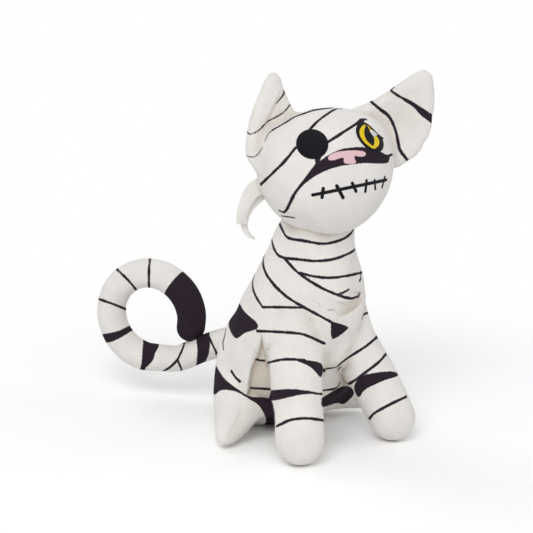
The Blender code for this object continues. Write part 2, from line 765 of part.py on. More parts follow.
def make_embroidery(face, black, yellow, white):
    lift = PIECE_GAP * 2
    rings = []
    for k in range(1, PATCH_RINGS + 1):
        share = k / PATCH_RINGS
        rings.append(oval(PATCH_CENTRE, PATCH_HALF_WIDTH * share, PATCH_HALF_HEIGHT * share, 0, OVAL_SIDES))
    face.patch("eye_patch", rings, black, lift, PATCH_CENTRE)

    def eye_oval(half_length, half_width):
        return oval(EYE_CENTRE, half_length, half_width, EYE_TILT, OVAL_SIDES)

    inner = eye_oval(IRIS_HALF_LENGTH + PIECE_GAP, IRIS_HALF_WIDTH + PIECE_GAP)
    face.patch("eye_outline", [inner, eye_oval(EYE_HALF_LENGTH, EYE_HALF_WIDTH)], black, lift)
    inner = eye_oval(PUPIL_HALF_LENGTH + PIECE_GAP, PUPIL_HALF_WIDTH + PIECE_GAP)
    face.patch("eye_iris", [inner, eye_oval(IRIS_HALF_LENGTH, IRIS_HALF_WIDTH)], yellow, lift)
    inner = eye_oval(PUPIL_HALF_LENGTH / 2, PUPIL_HALF_WIDTH / 2)
    face.patch("eye_pupil", [inner, eye_oval(PUPIL_HALF_LENGTH, PUPIL_HALF_WIDTH)], black, lift, EYE_CENTRE)
    glint = (EYE_CENTRE[0] + GLINT_OFFSET[0], EYE_CENTRE[1] + GLINT_OFFSET[1])
    outline = oval(glint, GLINT_HALF_LENGTH, GLINT_HALF_WIDTH, EYE_TILT, OVAL_SIDES // 2)
    face.patch("eye_glint", [outline], white, lift + THREAD + PIECE_GAP, glint)

    ends = ((-MOUTH_HALF_LENGTH, -MOUTH_DROP), (MOUTH_HALF_LENGTH, -MOUTH_DROP))
    mouth = face.bar("mouth_stitching", *ends, MOUTH_THREAD_WIDTH, lift, black)
    for k in range(CROSS_STITCHES):
        middle = (k - (CROSS_STITCHES - 1) / 2) * CROSS_SPACING
        lean = CROSS_LEAN * (-1) ** k
        dx, dz = math.sin(lean) * CROSS_LENGTH / 2, math.cos(lean) * CROSS_LENGTH / 2
        start, end = (middle - dx, -MOUTH_DROP - dz), (middle + dx, -MOUTH_DROP + dz)
        cross = face.bar(f"cross_stitch_{k + 1}", start, end, CROSS_THREAD_WIDTH, lift + THREAD / 3)
        boolean(mouth, "UNION", helper(cross))


# Loose bandage ends


def ribbon(points, widths, frame):
    """A flat strip whose width lies in the plane of its path."""
    path = smooth(points, STRIP_RINGS)
    rings = []
    for k, (centre, width) in enumerate(zip(path, smooth(widths, STRIP_RINGS))):
        along = (path[min(k + 1, STRIP_RINGS - 1)] - path[max(k - 1, 0)]).normalized()
        thick = Vector((0, STRIP_THICKNESS / 2, 0))
        across = along.cross(thick).normalized() * (width / 2)
        front = [centre - across - thick, centre + across - thick]
        rings.append([centre + across + thick, centre - across + thick, *front])
    return Skin(rings, path[0], path[-1]).moved(frame)


def strip_hinge(path, seat, frame):
    """Where a strip leaves the head: its seam, on the line that the strip folds about."""
    root, outside = frame @ path[0], frame @ path[1]
    return seat.surface().ray_cast(outside, root - outside)[0]


def make_strips(seat, frame, groups, plush):
    wide = ribbon(WIDE_STRIP, [WIDE_STRIP_WIDTH, WIDE_STRIP_WIDTH], frame)
    narrowing = [NARROW_STRIP_WIDTH, NARROW_STRIP_WIDTH, NARROW_STRIP_POINT]
    narrow = ribbon(NARROW_STRIP, narrowing, frame)
    boolean(skin_object("bandage_strip_wide", wide, groups[0], plush), "DIFFERENCE", seat)
    boolean(skin_object("bandage_strip_narrow", narrow, groups[1], plush), "DIFFERENCE", seat)


# Front legs


def front_leg_skin():
    """The cat's left front leg: a ball in the shoulder, a soft bend and a blunt paw."""
    paw = Vector((PAW_SPREAD, PAW_FORWARD, PAW_RADIUS - FLOOR_PRESS))
    hint = Vector((1, 0, 0))
    centres = smooth([LEG_BALL, LEG_UPPER, LEG_LOWER, paw], LEG_RINGS)
    radii = smooth([LEG_BALL_RADIUS, LEG_UPPER_RADIUS, LEG_LOWER_RADIUS, PAW_RADIUS], LEG_RINGS)
    rings = limb(centres, radii, hint, LEG_SIDES)
    up = (centres[0] - centres[1]).normalized()
    down = (centres[-1] - centres[-2]).normalized()
    top, first = rounded_end(centres[0], up, LEG_BALL_RADIUS, hint, LEG_SIDES, LEG_END_RINGS)
    top = [other_way_round(one) for one in reversed(top)]
    bottom, last = rounded_end(centres[-1], down, PAW_RADIUS, hint, LEG_SIDES, LEG_END_RINGS)
    return Skin(top + rings + bottom, first, last).on_the_floor()


def swing_axis():
    """The left leg swings forwards and outwards, in the plane that it leans in."""
    return Vector((math.sin(LEG_SWING_HEADING), -math.cos(LEG_SWING_HEADING), 0))


def turned(skin, pivot, axis, angle):
    about = Matrix.Translation(pivot) @ Matrix.Rotation(angle, 4, axis) @ Matrix.Translation(-pivot)
    return skin.moved(about)


def make_front_legs(groups, plush, fibre):
    """Two panels on each leg, open at the shoulder, and the stuffing. Returns the cutters."""
    left = front_leg_skin()
    grown = left.shifted(TURN_GAP)
    swung = turned(grown, LEG_BALL, swing_axis(), LEG_SWING)
    quarter = LEG_SIDES // 4
    cutters = []
    for side_name, group, flip in (("left", groups[0], False), ("right", groups[1], True)):
        skin = left.mirrored() if flip else left
        for layer, wanted in (("outer", True), ("inner", False)):

            def keep(row, side, middle):
                on_right = side < quarter or side >= 3 * quarter
                return row >= 1 and (on_right != flip) == wanted

            panel(f"front_leg_{layer}_{side_name}", skin, keep, group, plush)
        core = skin.shifted(-FABRIC - FILL_GAP)
        skin_object(f"front_leg_stuffing_{side_name}", core, group, fibre)
        sweep = [s.mirrored() if flip else s for s in (grown, swung)]
        cutters.append(swept_cutter(f"shoulder_space_{side_name}", sweep, group.parent))
    return cutters


# Hind legs


def hind_leg_skin():
    """The cat's left thigh and foot: a deep bulge that narrows to a toe on the floor."""
    toe = Vector((TOE_SPREAD, TOE_FORWARD, TOE_RADIUS - FLOOR_PRESS))
    spine = [THIGH_TOP, THIGH_UPPER, THIGH_LOWER, HOCK, ANKLE, toe]
    thigh = [THIGH_TOP_RADIUS, THIGH_UPPER_RADIUS, THIGH_LOWER_RADIUS]
    radii = smooth([*thigh, HOCK_RADIUS, ANKLE_RADIUS, TOE_RADIUS], HIND_RINGS)
    centres = smooth(spine, HIND_RINGS)
    rings = limb(centres, radii, HIND_SIDE_HINT, HIND_SIDES)
    first = centres[0] + (centres[0] - centres[1]).normalized() * THIGH_TOP_DOME
    last = centres[-1] + (centres[-1] - centres[-2]).normalized() * TOE_DOME
    return Skin(rings, first, last).on_the_floor()


def make_hind_legs(torso, group, plush, fibre):
    """A cover open towards the torso, which it is sewn to, and its stuffing."""
    seat = helper(skin_object("thigh_seat", torso.shifted(PIECE_GAP), group))
    tree = torso.surface()

    def keep(row, side, middle):
        on_torso, normal, _, _ = tree.find_nearest(middle)
        return (middle - on_torso).dot(normal) > -2 * FABRIC

    left = hind_leg_skin()
    for side_name, skin in (("left", left), ("right", left.mirrored())):
        cover = panel(f"hind_leg_cover_{side_name}", skin, keep, group, plush)
        core = skin.shifted(-FABRIC - FILL_GAP)
        deep = core.rings[HIND_FILL_START:]
        filling = Skin(deep, centre_of(deep[0]), core.last).coarse()
        stuffing = skin_object(f"hind_leg_stuffing_{side_name}", filling, group, fibre)
        for piece in (cover, stuffing):
            boolean(piece, "DIFFERENCE", seat)


# Tail


def tail_axes():
    """The tail lies in one upright plane: the way out, and the way square to that plane."""
    out = Vector((-math.sin(TAIL_HEADING), math.cos(TAIL_HEADING), 0))
    return out, Vector((out.y, -out.x, 0))


def tail_root(torso):
    """The middle of the ball that the tail turns on, just inside the torso's back."""
    tree = torso.surface()
    start = Vector((0, 2 * HIP_HALF_DEPTH, TAIL_ROOT_LEVEL))
    hit = tree.ray_cast(start, Vector((0, -1, 0)))[0]
    return hit - Vector((0, TAIL_ROOT_SINK, 0))


def tail_centres(root):
    """The middle line: from the root down to the sag, then once round the ring to the tip."""
    out, _ = tail_axes()
    up = Vector((0, 0, 1))
    sag = root + out * TAIL_SAG_REACH - up * TAIL_SAG
    centre = root + out * TAIL_REACH + up * TAIL_RING_RISE
    steps = [root.lerp(sag, k / TAIL_STRETCH_STEPS) for k in range(TAIL_STRETCH_STEPS + 1)]
    for k in range(TAIL_RING_STEPS + 1):
        angle = TAIL_RING_START + (TAIL_CURL - TAIL_RING_START) * k / TAIL_RING_STEPS
        steps.append(centre + (out * math.cos(angle) + up * math.sin(angle)) * TAIL_RING_RADIUS)
    return smooth(steps, TAIL_RINGS)


def tail_skin(root):
    """Thick at the root, slimmer where it sags, full round the ring and closed by a round tip."""
    _, across = tail_axes()
    centres = tail_centres(root)
    full = [TAIL_RADIUS] * TAIL_FULL_SPANS
    radii = smooth([TAIL_ROOT_RADIUS, TAIL_STRETCH_RADIUS, *full, TAIL_TIP_RADIUS], TAIL_RINGS)
    rings = limb(centres, radii, across, TAIL_SIDES)
    back = (centres[0] - centres[1]).normalized()
    ahead = (centres[-1] - centres[-2]).normalized()
    start, first = rounded_end(centres[0], back, TAIL_ROOT_RADIUS, across, TAIL_SIDES, TAIL_END_RINGS)
    start = [other_way_round(one) for one in reversed(start)]
    end, last = rounded_end(centres[-1], ahead, TAIL_TIP_RADIUS, across, TAIL_SIDES, TAIL_END_RINGS)
    return Skin(start + rings + end, first, last)


def make_tail(torso, group, plush, fibre):
    """One cover, open where it is sewn in, and its stuffing. Returns the space that its root needs."""
    root = tail_root(torso)
    tail = tail_skin(root)
    panel("tail_cover", tail, lambda row, side, middle: row >= 1, group, plush)
    skin_object("tail_stuffing", tail.shifted(-FABRIC - FILL_GAP), group, fibre)
    grown = tail.shifted(TURN_GAP)
    near = Skin(grown.rings[:TAIL_SUNK_RINGS], grown.first, grown.first)
    sweep = [turned(near, root, Vector((0, 0, 1)), way * TAIL_SWING) for way in (-1, 0, 1)]
    return swept_cutter("tail_space", sweep, group.parent)


def main():
    for old in list(bpy.data.objects):
        bpy.data.objects.remove(old)
    plush = material("plush_white", (0.80, 0.78, 0.74), 0.95)
    fibre = material("fibre_fill", (0.86, 0.86, 0.86), 1.0)
    canvas = material("pellet_canvas", (0.60, 0.58, 0.52), 0.9)
    white = material("thread_white", (0.85, 0.84, 0.80), 0.6)
    black = material("thread_black", (0.02, 0.018, 0.022), 0.6)
    yellow = material("thread_yellow", (0.72, 0.50, 0.03), 0.6)

    torso = torso_skin()
    body = group_at("body", Vector())
    head_group = group_at("head_pivot", neck_pivot(), body)
    right_ball = Vector((-LEG_BALL.x, LEG_BALL.y, LEG_BALL.z))
    shoulders = [group_at("shoulder_left", LEG_BALL, body), group_at("shoulder_right", right_ball, body)]
    tail_group = group_at("tail_pivot", tail_root(torso), body)

    panels, stuffing = make_torso(torso, body, plush, fibre, canvas)
    make_closing_stitches(torso, body, white)
    head, frame = make_head(head_group, plush, fibre)
    head_gap = head.shifted(PIECE_GAP)
    seat = helper(skin_object("head_seat", head_gap, head_group))
    make_ears(seat, frame, head_group, plush, fibre)
    make_embroidery(Face(head, frame, head_group), black, yellow, white)
    hinges = [strip_hinge(path, head_gap, frame) for path in (WIDE_STRIP, NARROW_STRIP)]
    strip_groups = [
        group_at("wide_strip_seam", hinges[0], head_group),
        group_at("narrow_strip_seam", hinges[1], head_group),
    ]
    make_strips(seat, frame, strip_groups, plush)
    make_hind_legs(torso, body, plush, fibre)
    spaces = make_front_legs(shoulders, plush, fibre) + [make_tail(torso, tail_group, plush, fibre)]
    boolean(panels[0], "DIFFERENCE", spaces[0], spaces[2])
    boolean(panels[1], "DIFFERENCE", spaces[1], spaces[2])
    boolean(stuffing, "DIFFERENCE", *spaces)


main()
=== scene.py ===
"""The looks of a seated stuffed cat wrapped as a mummy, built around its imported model.

Metres, +Z up, and the cat faces -Y, so its own right side is at -X. Each cover is grown
from the model's solids, puffed out as stuffed cloth and subdivided. Its printed lines
are kept on it as distances, so they stay sharp and bend with the cloth.
"""

import math

import bmesh
import bpy
import numpy as np
from mathutils import Matrix, Vector, noise
from mathutils.bvhtree import BVHTree


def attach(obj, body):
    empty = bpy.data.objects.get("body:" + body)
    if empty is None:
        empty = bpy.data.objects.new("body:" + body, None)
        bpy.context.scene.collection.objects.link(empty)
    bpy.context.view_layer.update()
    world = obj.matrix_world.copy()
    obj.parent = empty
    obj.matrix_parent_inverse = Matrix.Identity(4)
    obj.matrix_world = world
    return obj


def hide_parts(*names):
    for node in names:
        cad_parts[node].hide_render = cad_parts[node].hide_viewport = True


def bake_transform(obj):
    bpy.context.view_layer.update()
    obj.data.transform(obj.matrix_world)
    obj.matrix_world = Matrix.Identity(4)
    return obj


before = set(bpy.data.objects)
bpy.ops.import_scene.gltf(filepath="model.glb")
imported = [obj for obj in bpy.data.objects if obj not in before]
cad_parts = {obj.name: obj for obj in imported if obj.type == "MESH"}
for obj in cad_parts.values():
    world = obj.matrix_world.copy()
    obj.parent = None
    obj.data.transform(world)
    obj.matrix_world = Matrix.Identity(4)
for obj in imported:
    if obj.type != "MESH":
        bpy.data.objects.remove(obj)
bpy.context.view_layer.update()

bl_info = {
    "name": "Stuffed Mummy Cat",
    "version": (1, 0, 0),
    "blender": (4, 5, 0),
    "location": "View3D > Sidebar > Mummy Cat",
    "description": "Dresses a seated mummy cat in printed plush, embroidery and bandage ends",
    "category": "Add Mesh",
}

MM = 0.001
UP = Vector((0, 0, 1))

# The photograph's frame, in pixels, and the camera's sensor
PHOTO_SIZE = 533
SENSOR_WIDTH = 36
CAMERA_AIM = Vector((-20.3, -14.7, 112)) * MM

# The model's nodes that each cover stands for
TORSO_NODES = [
    "torso_panel_left", "torso_panel_right", "seat_panel", "pellet_bag", "torso_stuffing",
    "hind_leg_cover_left", "hind_leg_cover_right", "hind_leg_stuffing_left",
    "hind_leg_stuffing_right",
]
HEAD_BALL_NODES = ["face_panel", "head_back_panel", "head_stuffing"]
EAR_NODES = [
    "ear_front_left", "ear_back_left", "ear_padding_left",
    "ear_front_right", "ear_back_right", "ear_padding_right",
]
TAIL_NODES = ["tail_cover", "tail_stuffing"]
SIDES = {"left": 1, "right": -1}

HUGE = 1e9
TINY = 1e-9

# Joint points and body sizes that the looks need, as the model has them
HEAD_CENTRE = Vector((-5.131, -55.193, 177.512)) * MM
HEAD_TURN = math.radians(-14)
HEAD_NOD = math.radians(10)
HEAD_TILT = math.radians(-8)

# The middle of the torso at each level, front to back
TORSO_LEVELS = [0, 28 * MM, 58 * MM, 88 * MM, 141 * MM, 160 * MM]
TORSO_MIDDLES = [-1.5 * MM, -5 * MM, -14 * MM, -29.5 * MM, -46 * MM, -50.7 * MM]

# The tail's middle line
TAIL_ROOT = Vector((0, 32.471, 43.7)) * MM
TAIL_HEADING = math.radians(33)
TAIL_SAG_REACH = 50 * MM
TAIL_SAG = 12.9 * MM
TAIL_REACH = 70.8 * MM
TAIL_RING_RISE = 15.3 * MM
TAIL_RING_RADIUS = 29.9 * MM
TAIL_RING_START = math.radians(-100)
TAIL_CURL = math.radians(195)
TAIL_RADII = [10.4 * MM, 8.9 * MM] + [9.95 * MM] * 5 + [9.4 * MM]
TAIL_SUNK = 6 * MM
TAIL_ROOT_RAISED = 6 * MM
TAIL_BOW = 2.5 * MM
TAIL_TIP_MORE = 7.5 * MM
TAIL_SAG_STEPS = 3
TAIL_RING_STEPS = 15
TAIL_POINTS = 160
TAIL_AROUND = 64
TAIL_ALONG = 400
TAIL_LUMP_HEIGHT = 0.25 * MM
TAIL_LUMP_WIDTH = 13 * MM
TAIL_LUMP_SEED = 3

# The first skin of the body and of the head: how often it is smoothed, and how often again
# once it is fine. The size that it loses is given back, up to this much.
BODY_ROUNDS = 5
BODY_LAST_ROUNDS = 4
HEAD_ROUNDS = 9
HEAD_LAST_ROUNDS = 8
GIVEN_BACK = 2 * MM
GIVEN_BACK_ROUNDS = 4

# Frames for which the stuffing presses
CLOTH_FRAMES = 20

# How far a printed distance is kept, either side of its edge, and how far off the cloth
# a line may lie and still be printed on it
INK_REACH = 3 * MM
DIP = 4 * MM

# Above this level the legs' cloth runs on from the torso's. Each cover stays on their
# common skin until it is this far inside the other, and over the next span it sinks away,
# at least this deep. The legs' covers lie a hair above the torso's.
LEG_FREE = 46 * MM
LEG_FREE_SPAN = 13 * MM
FUSED = 3 * MM
FUSED_SPAN = 7 * MM
SINK = 7 * MM
LEG_LIFT = 0.05 * MM

# Samples between two traced points, the jump in depth that ends a line, and the lines
# round the back: how many points, how far their drawing wanders, and how it differs
STROKE_STEPS = 8
STEP_AWAY = 5 * MM
BACK_STEPS = 60
BACK_SWAY = 0.07
BACK_WAVES = 1.3
BACK_VARIETY = 90

# How far round from the camera lines are printed: the cosines at which they start and end.
# The single ones are where patches, the pressed hollow and the tucks end.
FRONT = (-0.45, 1.1)
BEHIND_BODY = (-1.1, 0.08)
BEHIND_HEAD = (-1.1, -0.05)
ALL_ROUND = (-1.1, 1.1)
PATCH_LIMIT = -0.1
PRESS_LIMIT = -0.2
TUCK_LIMIT = -0.1
TUCK_SHARPNESS = 5

# Ink spreads in the pile, which widens each line
INK_SPREAD = 0.35 * MM

# A line's width varies by this share, in a short and a long wave
UNEVEN = 0.14
UNEVEN_SHORT = 2.3 * MM
UNEVEN_LONG = 6.1 * MM
UNEVEN_START = 900

# The middle of the cat in the photograph
MIDDLE_PIXEL = (312, 270)

# How far round a point cloth shuts it in, and how many ways are tried
ROOM_REACH = 28 * MM
ROOM_START = 2 * MM
ROOM_RAYS = 20
ROOM_ROUNDS = 2

# A point with less cloth around it than this is in the open, and how fast more of it, and
# a hollow of this depth, darken and warm the pile as painted shade
OPEN_SHARE = 0.14
SHUT_SHADE = 1.4
HOLLOW_SHADE = 0.6
HOLLOW_DEPTH = 0.45 * MM
HOLLOW_REACH = 14
HOLLOW_ROUNDS = 3

# Where the stuffing is shaped against the photograph: pixel, then in millimetres its reach,
# and how far it goes across, up and forward over the floor. TORSO_PULLS leave the legs out.
BODY_PULLS = [
    (315, 232, 30, -3.4, 0, 0),
    (282, 226, 9, -1.6, 0, 0),
    (277, 238, 10, -1.4, 0, 0),
    (355, 246, 9, 2.6, 0, 0),
    (362, 258, 24, -4.2, 0, 0),
    (362, 275, 9, -1.8, 0, 0),
    (230, 303, 12, -1.2, 0, 0),
    (364, 305, 9, 1.5, 0, 0),
    (346, 349, 6, 0, 0, 3),
    (341, 361, 7, 0, 0, 5),
    (217, 391, 9, 1.2, 0, 0),
    (221, 437, 9, -1.6, 0, 2),
    (226, 441, 9, -0.4, 0, 5),
]
TORSO_PULLS = [
    (268, 432, 15, 0, 11, 0),
    (332, 420, 15, 0, 7, 0),
    (352, 414, 10, 0, 2.5, 0),
]
HEAD_PULLS = [
    (271, 76, 9, -0.6, 1.4, 0),
    (285, 98, 9, 2.8, 0.8, 0),
    (254, 157, 8, -2.4, 0, 0),
    (251, 143, 8, -0.4, 0, 0),
    (260, 181, 9, -1.5, 0, 0),
    (308, 114, 15, 0, 1.7, 0),
    (427, 74, 11, -1.6, 1.5, 0),
    (405, 82, 14, -0.8, 2.4, 0),
    (432, 98, 12, 0.6, 0, 0),
    (425, 130, 10, 1.8, -1.2, 0),
    (415, 142, 10, 2.6, -2.2, 0),
    (406, 151, 10, 1.8, -3.2, 0),
    (395, 158, 8, 0.4, -4.4, 0),
    (303, 226, 13, 0, 3.0, 0),
]

# The hollow of the belly between the thigh and the front leg, and how much further it
# runs on behind the leg
BELLY = [
    (261.5, 336), (265.4, 352), (268, 363), (270.8, 382), (272.5, 399), (251, 397),
    (249.2, 389), (249.6, 380.8), (252.3, 367), (257.8, 354.7), (260.6, 345),
]
BELLY_BEHIND = [(261.5, 336), (290, 336), (290, 399), *BELLY[5:]]
BELLY_DEPTH = 6.5 * MM
PRESS_EDGE = 1.6 * MM

# Where the cloth tucks in on the right of a line of pixels: the line, depth and fade
BODY_TUCKS = [
    ([(223, 445), (229, 433), (236, 419), (242, 403)], 1.0 * MM, 9 * MM),
    ([(335.5, 367), (334.5, 352), (334, 338)], 0.9 * MM, 3 * MM),
]
SHOULDER_TUCK = (
    [
        (348, 290.5), (357.5, 291.7), (361.8, 295), (362, 300), (358, 307), (350, 313),
        (342, 317), (332, 320),
    ],
    4.4 * MM, 9 * MM,
)
EAR_TUCK = ([(261, 139), (266.5, 122), (272, 110), (277.5, 98), (281.5, 87)], 2.2 * MM, 7 * MM)
# A tuck this deep gets the full painted shade
TUCK_SHADED = 4 * MM
TUCK_STEPS = 40
TUCK_EDGE = 1.2 * MM
TUCK_FULLNESS = 1.3

# The edge of an embroidered patch stands above the pile, and its underside lies in it
RIM = 0.2 * MM
STEEPEST = 0.4
THREAD_SUNK = 0.8 * MM
BADGE_FLATNESS = 5
ELLIPSE_POINTS = 32

# How high the patch stands above the cloth, then the eye's outline, iris, pupil and glint,
# each on the one before, and the mouth
PATCH_TOP = 0.9 * MM
OUTLINE_TOP = 0.6 * MM
IRIS_TOP = 0.85 * MM
PUPIL_TOP = 1.1 * MM
GLINT_TOP = 1.35 * MM
MOUTH_TOP = 0.5 * MM

# A row of stitching: its points round and along, and how they gather at its ends
ROW_AROUND = 14
ROW_ALONG = 48
END_EASE = 0.12

# The stitches that close the back seam, found from this far behind the cat
STITCHES = 7
STITCH_LEVEL = 66 * MM
STITCH_SPAN = 34 * MM
STITCH_HALF = 1.8 * MM
STITCH_SLANT = 0.9 * MM
STITCH_POINTS = 9
STITCH_WIDTH = 0.3 * MM
STITCH_TOP = 0.35 * MM
STITCH_FROM = 0.2

HEAD_AXES = (
    Matrix.Translation(HEAD_CENTRE)
    @ Matrix.Rotation(HEAD_TURN, 4, "Z")
    @ Matrix.Rotation(-HEAD_NOD, 4, "X")
    @ Matrix.Rotation(HEAD_TILT, 4, "Y")
)

# The bandage ends: their middle lines in the head's own axes, and their widths
STRIP_THICKNESS = 0.9 * MM
STRIPS = [
    ("wide", [
        Vector((-33, 14, -0.5)) * MM, Vector((-43, 14, -1.5)) * MM,
        Vector((-49.2, 14, -6.9)) * MM, Vector((-54, 14, -14.4)) * MM,
        Vector((-55.9, 14, -20.6)) * MM,
    ], [11 * MM, 10 * MM, 8.4 * MM, 7.2 * MM, 6.6 * MM]),
    ("narrow", [
        Vector((-35, 17.5, -5)) * MM, Vector((-47, 17.5, -11.8)) * MM,
        Vector((-52.2, 17.5, -19.5)) * MM, Vector((-52.2, 17.5, -26.4)) * MM,
        Vector((-47.9, 17.5, -31.8)) * MM,
    ], [6 * MM, 6 * MM, 4.4 * MM, 3.0 * MM, 1.0 * MM]),
]

STRIP_EDGE = 0.25 * MM

# A strip's grid, and how its loose end ruffles and cups
RIBBON_STEPS = 48
RIBBON_COLUMNS = 12
RUFFLE = 0.5 * MM
RUFFLE_ALONG = 7
RUFFLE_ACROSS = 2
CUP = 0.7 * MM
CUP_LEVEL = 0.4

# How much brighter the camera sees the paper, and where it fades into the white backdrop
PAPER_EXPOSURE = 1.25
PAPER_FADE = (0.16, 0.36)
PAPER_SIZE = 1.6
PAPER_DROP = 0.2 * MM

# Light from all round, and each lamp's place, size and power
WHITE = (1, 1, 1, 1)
WORLD_LIGHT = 0.5
LAMPS = [
    ("window_light", (-1.2, -1.1, 1.5), 1.2, 19),
    ("fill_light", (1.5, -1.0, 0.9), 1.6, 4),
    ("back_light", (-0.3, 1.4, 1.6), 1.2, 6),
]


# The print, traced in the photograph's pixels: each line has its width and its points

HEAD_LINES = {
    "crown_start": ((0.4 * MM, 0.8 * MM), [(264.7, 141.5), (268, 134.5), (272.5, 130)]),
    "crown_left": ((1.7 * MM, 4.0 * MM), [
        (272.5, 130), (285, 122.8), (294.4, 117), (303.6, 113.6), (313.4, 110.2), (321.7, 108.8),
        (330.4, 107.8),
    ]),
    "crown_right": (1.5 * MM, [
        (309.9, 129.4), (317.9, 121), (327.8, 113.7), (335.5, 109.2), (341.6, 108.9),
    ]),
    "brow": (1.6 * MM, [(328.6, 141.7), (357, 123.3), (361.5, 119.5), (366.1, 119.3)]),
    "temple": (1.6 * MM, [(295.7, 147.8), (285, 160.8), (279, 167), (260.5, 184.8)]),
    "cheek": (1.6 * MM, [
        (317.9, 156.2), (317.9, 160.8), (315.2, 166.9), (308.7, 175.3), (300.3, 186),
        (294.2, 194.5), (290.4, 202.1), (286.5, 209.8), (283.5, 212.3), (279.6, 210.8),
    ]),
    "jaw": (1.3 * MM, [(282, 216), (294, 217.7)]),
    "ear_left_inner": (1.7 * MM, [
        (373.8, 97.3), (370.7, 100.7), (379.1, 108.4), (387.5, 114.9), (392.1, 121.8),
        (395.9, 131.7), (398.2, 142.4), (400, 150.1), (407.5, 160.3),
    ]),
    "ear_left_outer": (1.3 * MM, [(393.5, 87.5), (391.2, 90.5), (397, 95), (404, 99)]),
    "ear_left_edge": ((1.4 * MM, 5.0 * MM), [
        (403, 98.4), (414, 105), (423, 112.5), (433, 119.5), (437, 121.5),
    ]),
    "ear_right_low": (0.6 * MM, [
        (246.5, 131), (250, 134), (258, 131), (266.6, 122.4), (273, 118.6), (283, 112.8),
        (290, 104.7),
    ]),
    "ear_right_tip": ((0.3 * MM, 1.0 * MM), [(276, 103.7), (282.8, 95.6), (284.3, 90.8)]),
    "ear_right_root": (0.4 * MM, [(246.5, 156), (253, 157), (258, 154), (262.7, 147)]),
}
BROW_WEDGE = [
    (356.6, 125.6), (358.6, 121.6), (361.8, 119.4), (364.6, 120.4), (363, 123.4), (359.4, 124.6),
]
MUZZLE = [
    (317.1, 162.3), (323.3, 158.5), (327.8, 155.4), (334, 152), (342.4, 148.9), (351.6, 147.4),
    (361.5, 147), (366.1, 147.8), (375, 148), (381.4, 152), (386.8, 154.7), (391.5, 153.4),
    (393, 155.2), (389.9, 157), (388.7, 161.9), (384.5, 163.5), (376.8, 163.6), (364.6, 163.2),
    (353.9, 164.2), (342.4, 165.8), (330.9, 168.8), (321.7, 172.7), (314.1, 176.9), (305.7, 183),
    (300.3, 188.3), (299.6, 186.6), (304.1, 181.5), (311, 173), (315.6, 166.2),
]
CHEEK_WEDGE = [(314.5, 155), (322, 155), (320, 160), (318.5, 164), (315.5, 163.5)]
NOSE = [
    (327.8, 157.7), (330.1, 154.7), (338.6, 151.6), (350, 150.5), (358.5, 150.5), (364.6, 152),
    (365.7, 154.7), (363.8, 156.4), (360.7, 156.6), (355.4, 156), (354.2, 157), (355, 160),
    (356.2, 161.6), (355, 163.5), (350.8, 163.9), (345.4, 163.5), (343.5, 161.6), (343.8, 158.5),
    (342, 157.6), (337.8, 158.9), (332.4, 160.4), (329, 159.9),
]

# Lines that end at the head's outline run on round its back, between these pixels
HEAD_BACK_LINES = [
    (1.6 * MM, (261.5, 184), (397, 172)),
    (1.7 * MM, (288, 208), (390, 188)),
    (1.5 * MM, (266, 150), (402, 150)),
]

BODY_LINES = {
    "neck_top": (1.5 * MM, [
        (277.4, 219), (278.6, 221.5), (283, 231), (288.5, 238), (305, 241), (321, 243.7),
        (332, 242.5), (343, 239), (350.5, 233.7), (353, 230), (354.5, 226.5),
    ]),
    "neck_middle": (1.5 * MM, [
        (272.6, 234), (271.9, 240.6), (274.7, 250), (281.6, 257), (301.5, 259.7), (315, 261),
        (330.6, 259.7), (343, 256), (353.6, 250.6), (356.6, 245), (357, 243),
    ]),
    "chest_short": (1.4 * MM, [
        (299.6, 272.8), (315, 276.6), (331, 277.7), (346, 276), (359.7, 273), (363, 272),
    ]),
    "chest_upper": (1.5 * MM, [
        (284, 258), (298.5, 273), (319, 286.5), (336.7, 294.6), (346, 297.6), (353.6, 298.4),
        (361, 296),
    ]),
    "chest_lower": ((2.0 * MM, 1.5 * MM), [
        (264.5, 254), (263, 263.6), (266, 273.5), (271, 281), (278.6, 289.6), (290, 299),
        (304.6, 307.6), (320.7, 316.4), (330.6, 321.7),
    ]),
    "shoulder": ((2.0 * MM, 1.4 * MM), [
        (255.6, 271), (252.6, 282.7), (254.8, 294), (262.5, 307.2),
    ]),
    "chest_cross": (1.4 * MM, [(262.5, 307.2), (281.6, 307.2), (304.6, 307.6)]),
    "chest_tick": (1.2 * MM, [(338.5, 294.2), (344, 292.2), (349, 289.5)]),
    "side_tick": (1.1 * MM, [(360, 273), (360.8, 278), (359.5, 281)]),
    "waist": (1.5 * MM, [(257, 331), (279.6, 332), (303, 334.4), (324.4, 343.5)]),
    "leg_top_line": (1.4 * MM, [(267.6, 363), (275, 361), (286, 359.3), (304.5, 360)]),
    "band_end": (1.2 * MM, [(307, 391.6), (315, 393.6), (322, 394)]),
    "paw_line": (1.5 * MM, [(274.6, 426.4), (291, 419.8), (307.8, 418.5), (322, 420.6)]),
    "left_leg_top": (1.5 * MM, [
        (321.6, 370), (336.8, 368.6), (340, 364.5), (350, 356.4), (365.4, 346.6), (377, 336.8),
        (378, 333.7),
    ]),
    "left_leg_middle": (1.5 * MM, [(349, 384), (360, 376.5), (378, 362.7), (386, 353.8)]),
    "left_paw_line": (1.5 * MM, [(370.7, 418), (376, 412), (390.4, 404), (406.4, 396.6)]),
    "left_leg_tick": (1.1 * MM, [(362, 318.5), (363.6, 314.5), (368, 312.7)]),
    "belly_line": (1.3 * MM, [(321.6, 392.4), (335, 390.4), (341, 387.8), (346.7, 384.4)]),
    "belly_left_upper": (1.3 * MM, [(255.5, 359.4), (260, 360.4), (266, 360.8)]),
    "belly_left_lower": (1.3 * MM, [(250.4, 388), (269.8, 389.6)]),
    "foot_mark": (1.5 * MM, [(231, 371), (235, 377), (239.7, 381.4)]),
    "tail_root_line": (1.0 * MM, [(226.1, 328.7), (223.5, 340.8), (222.9, 343.4), (223.5, 349.7)]),
}
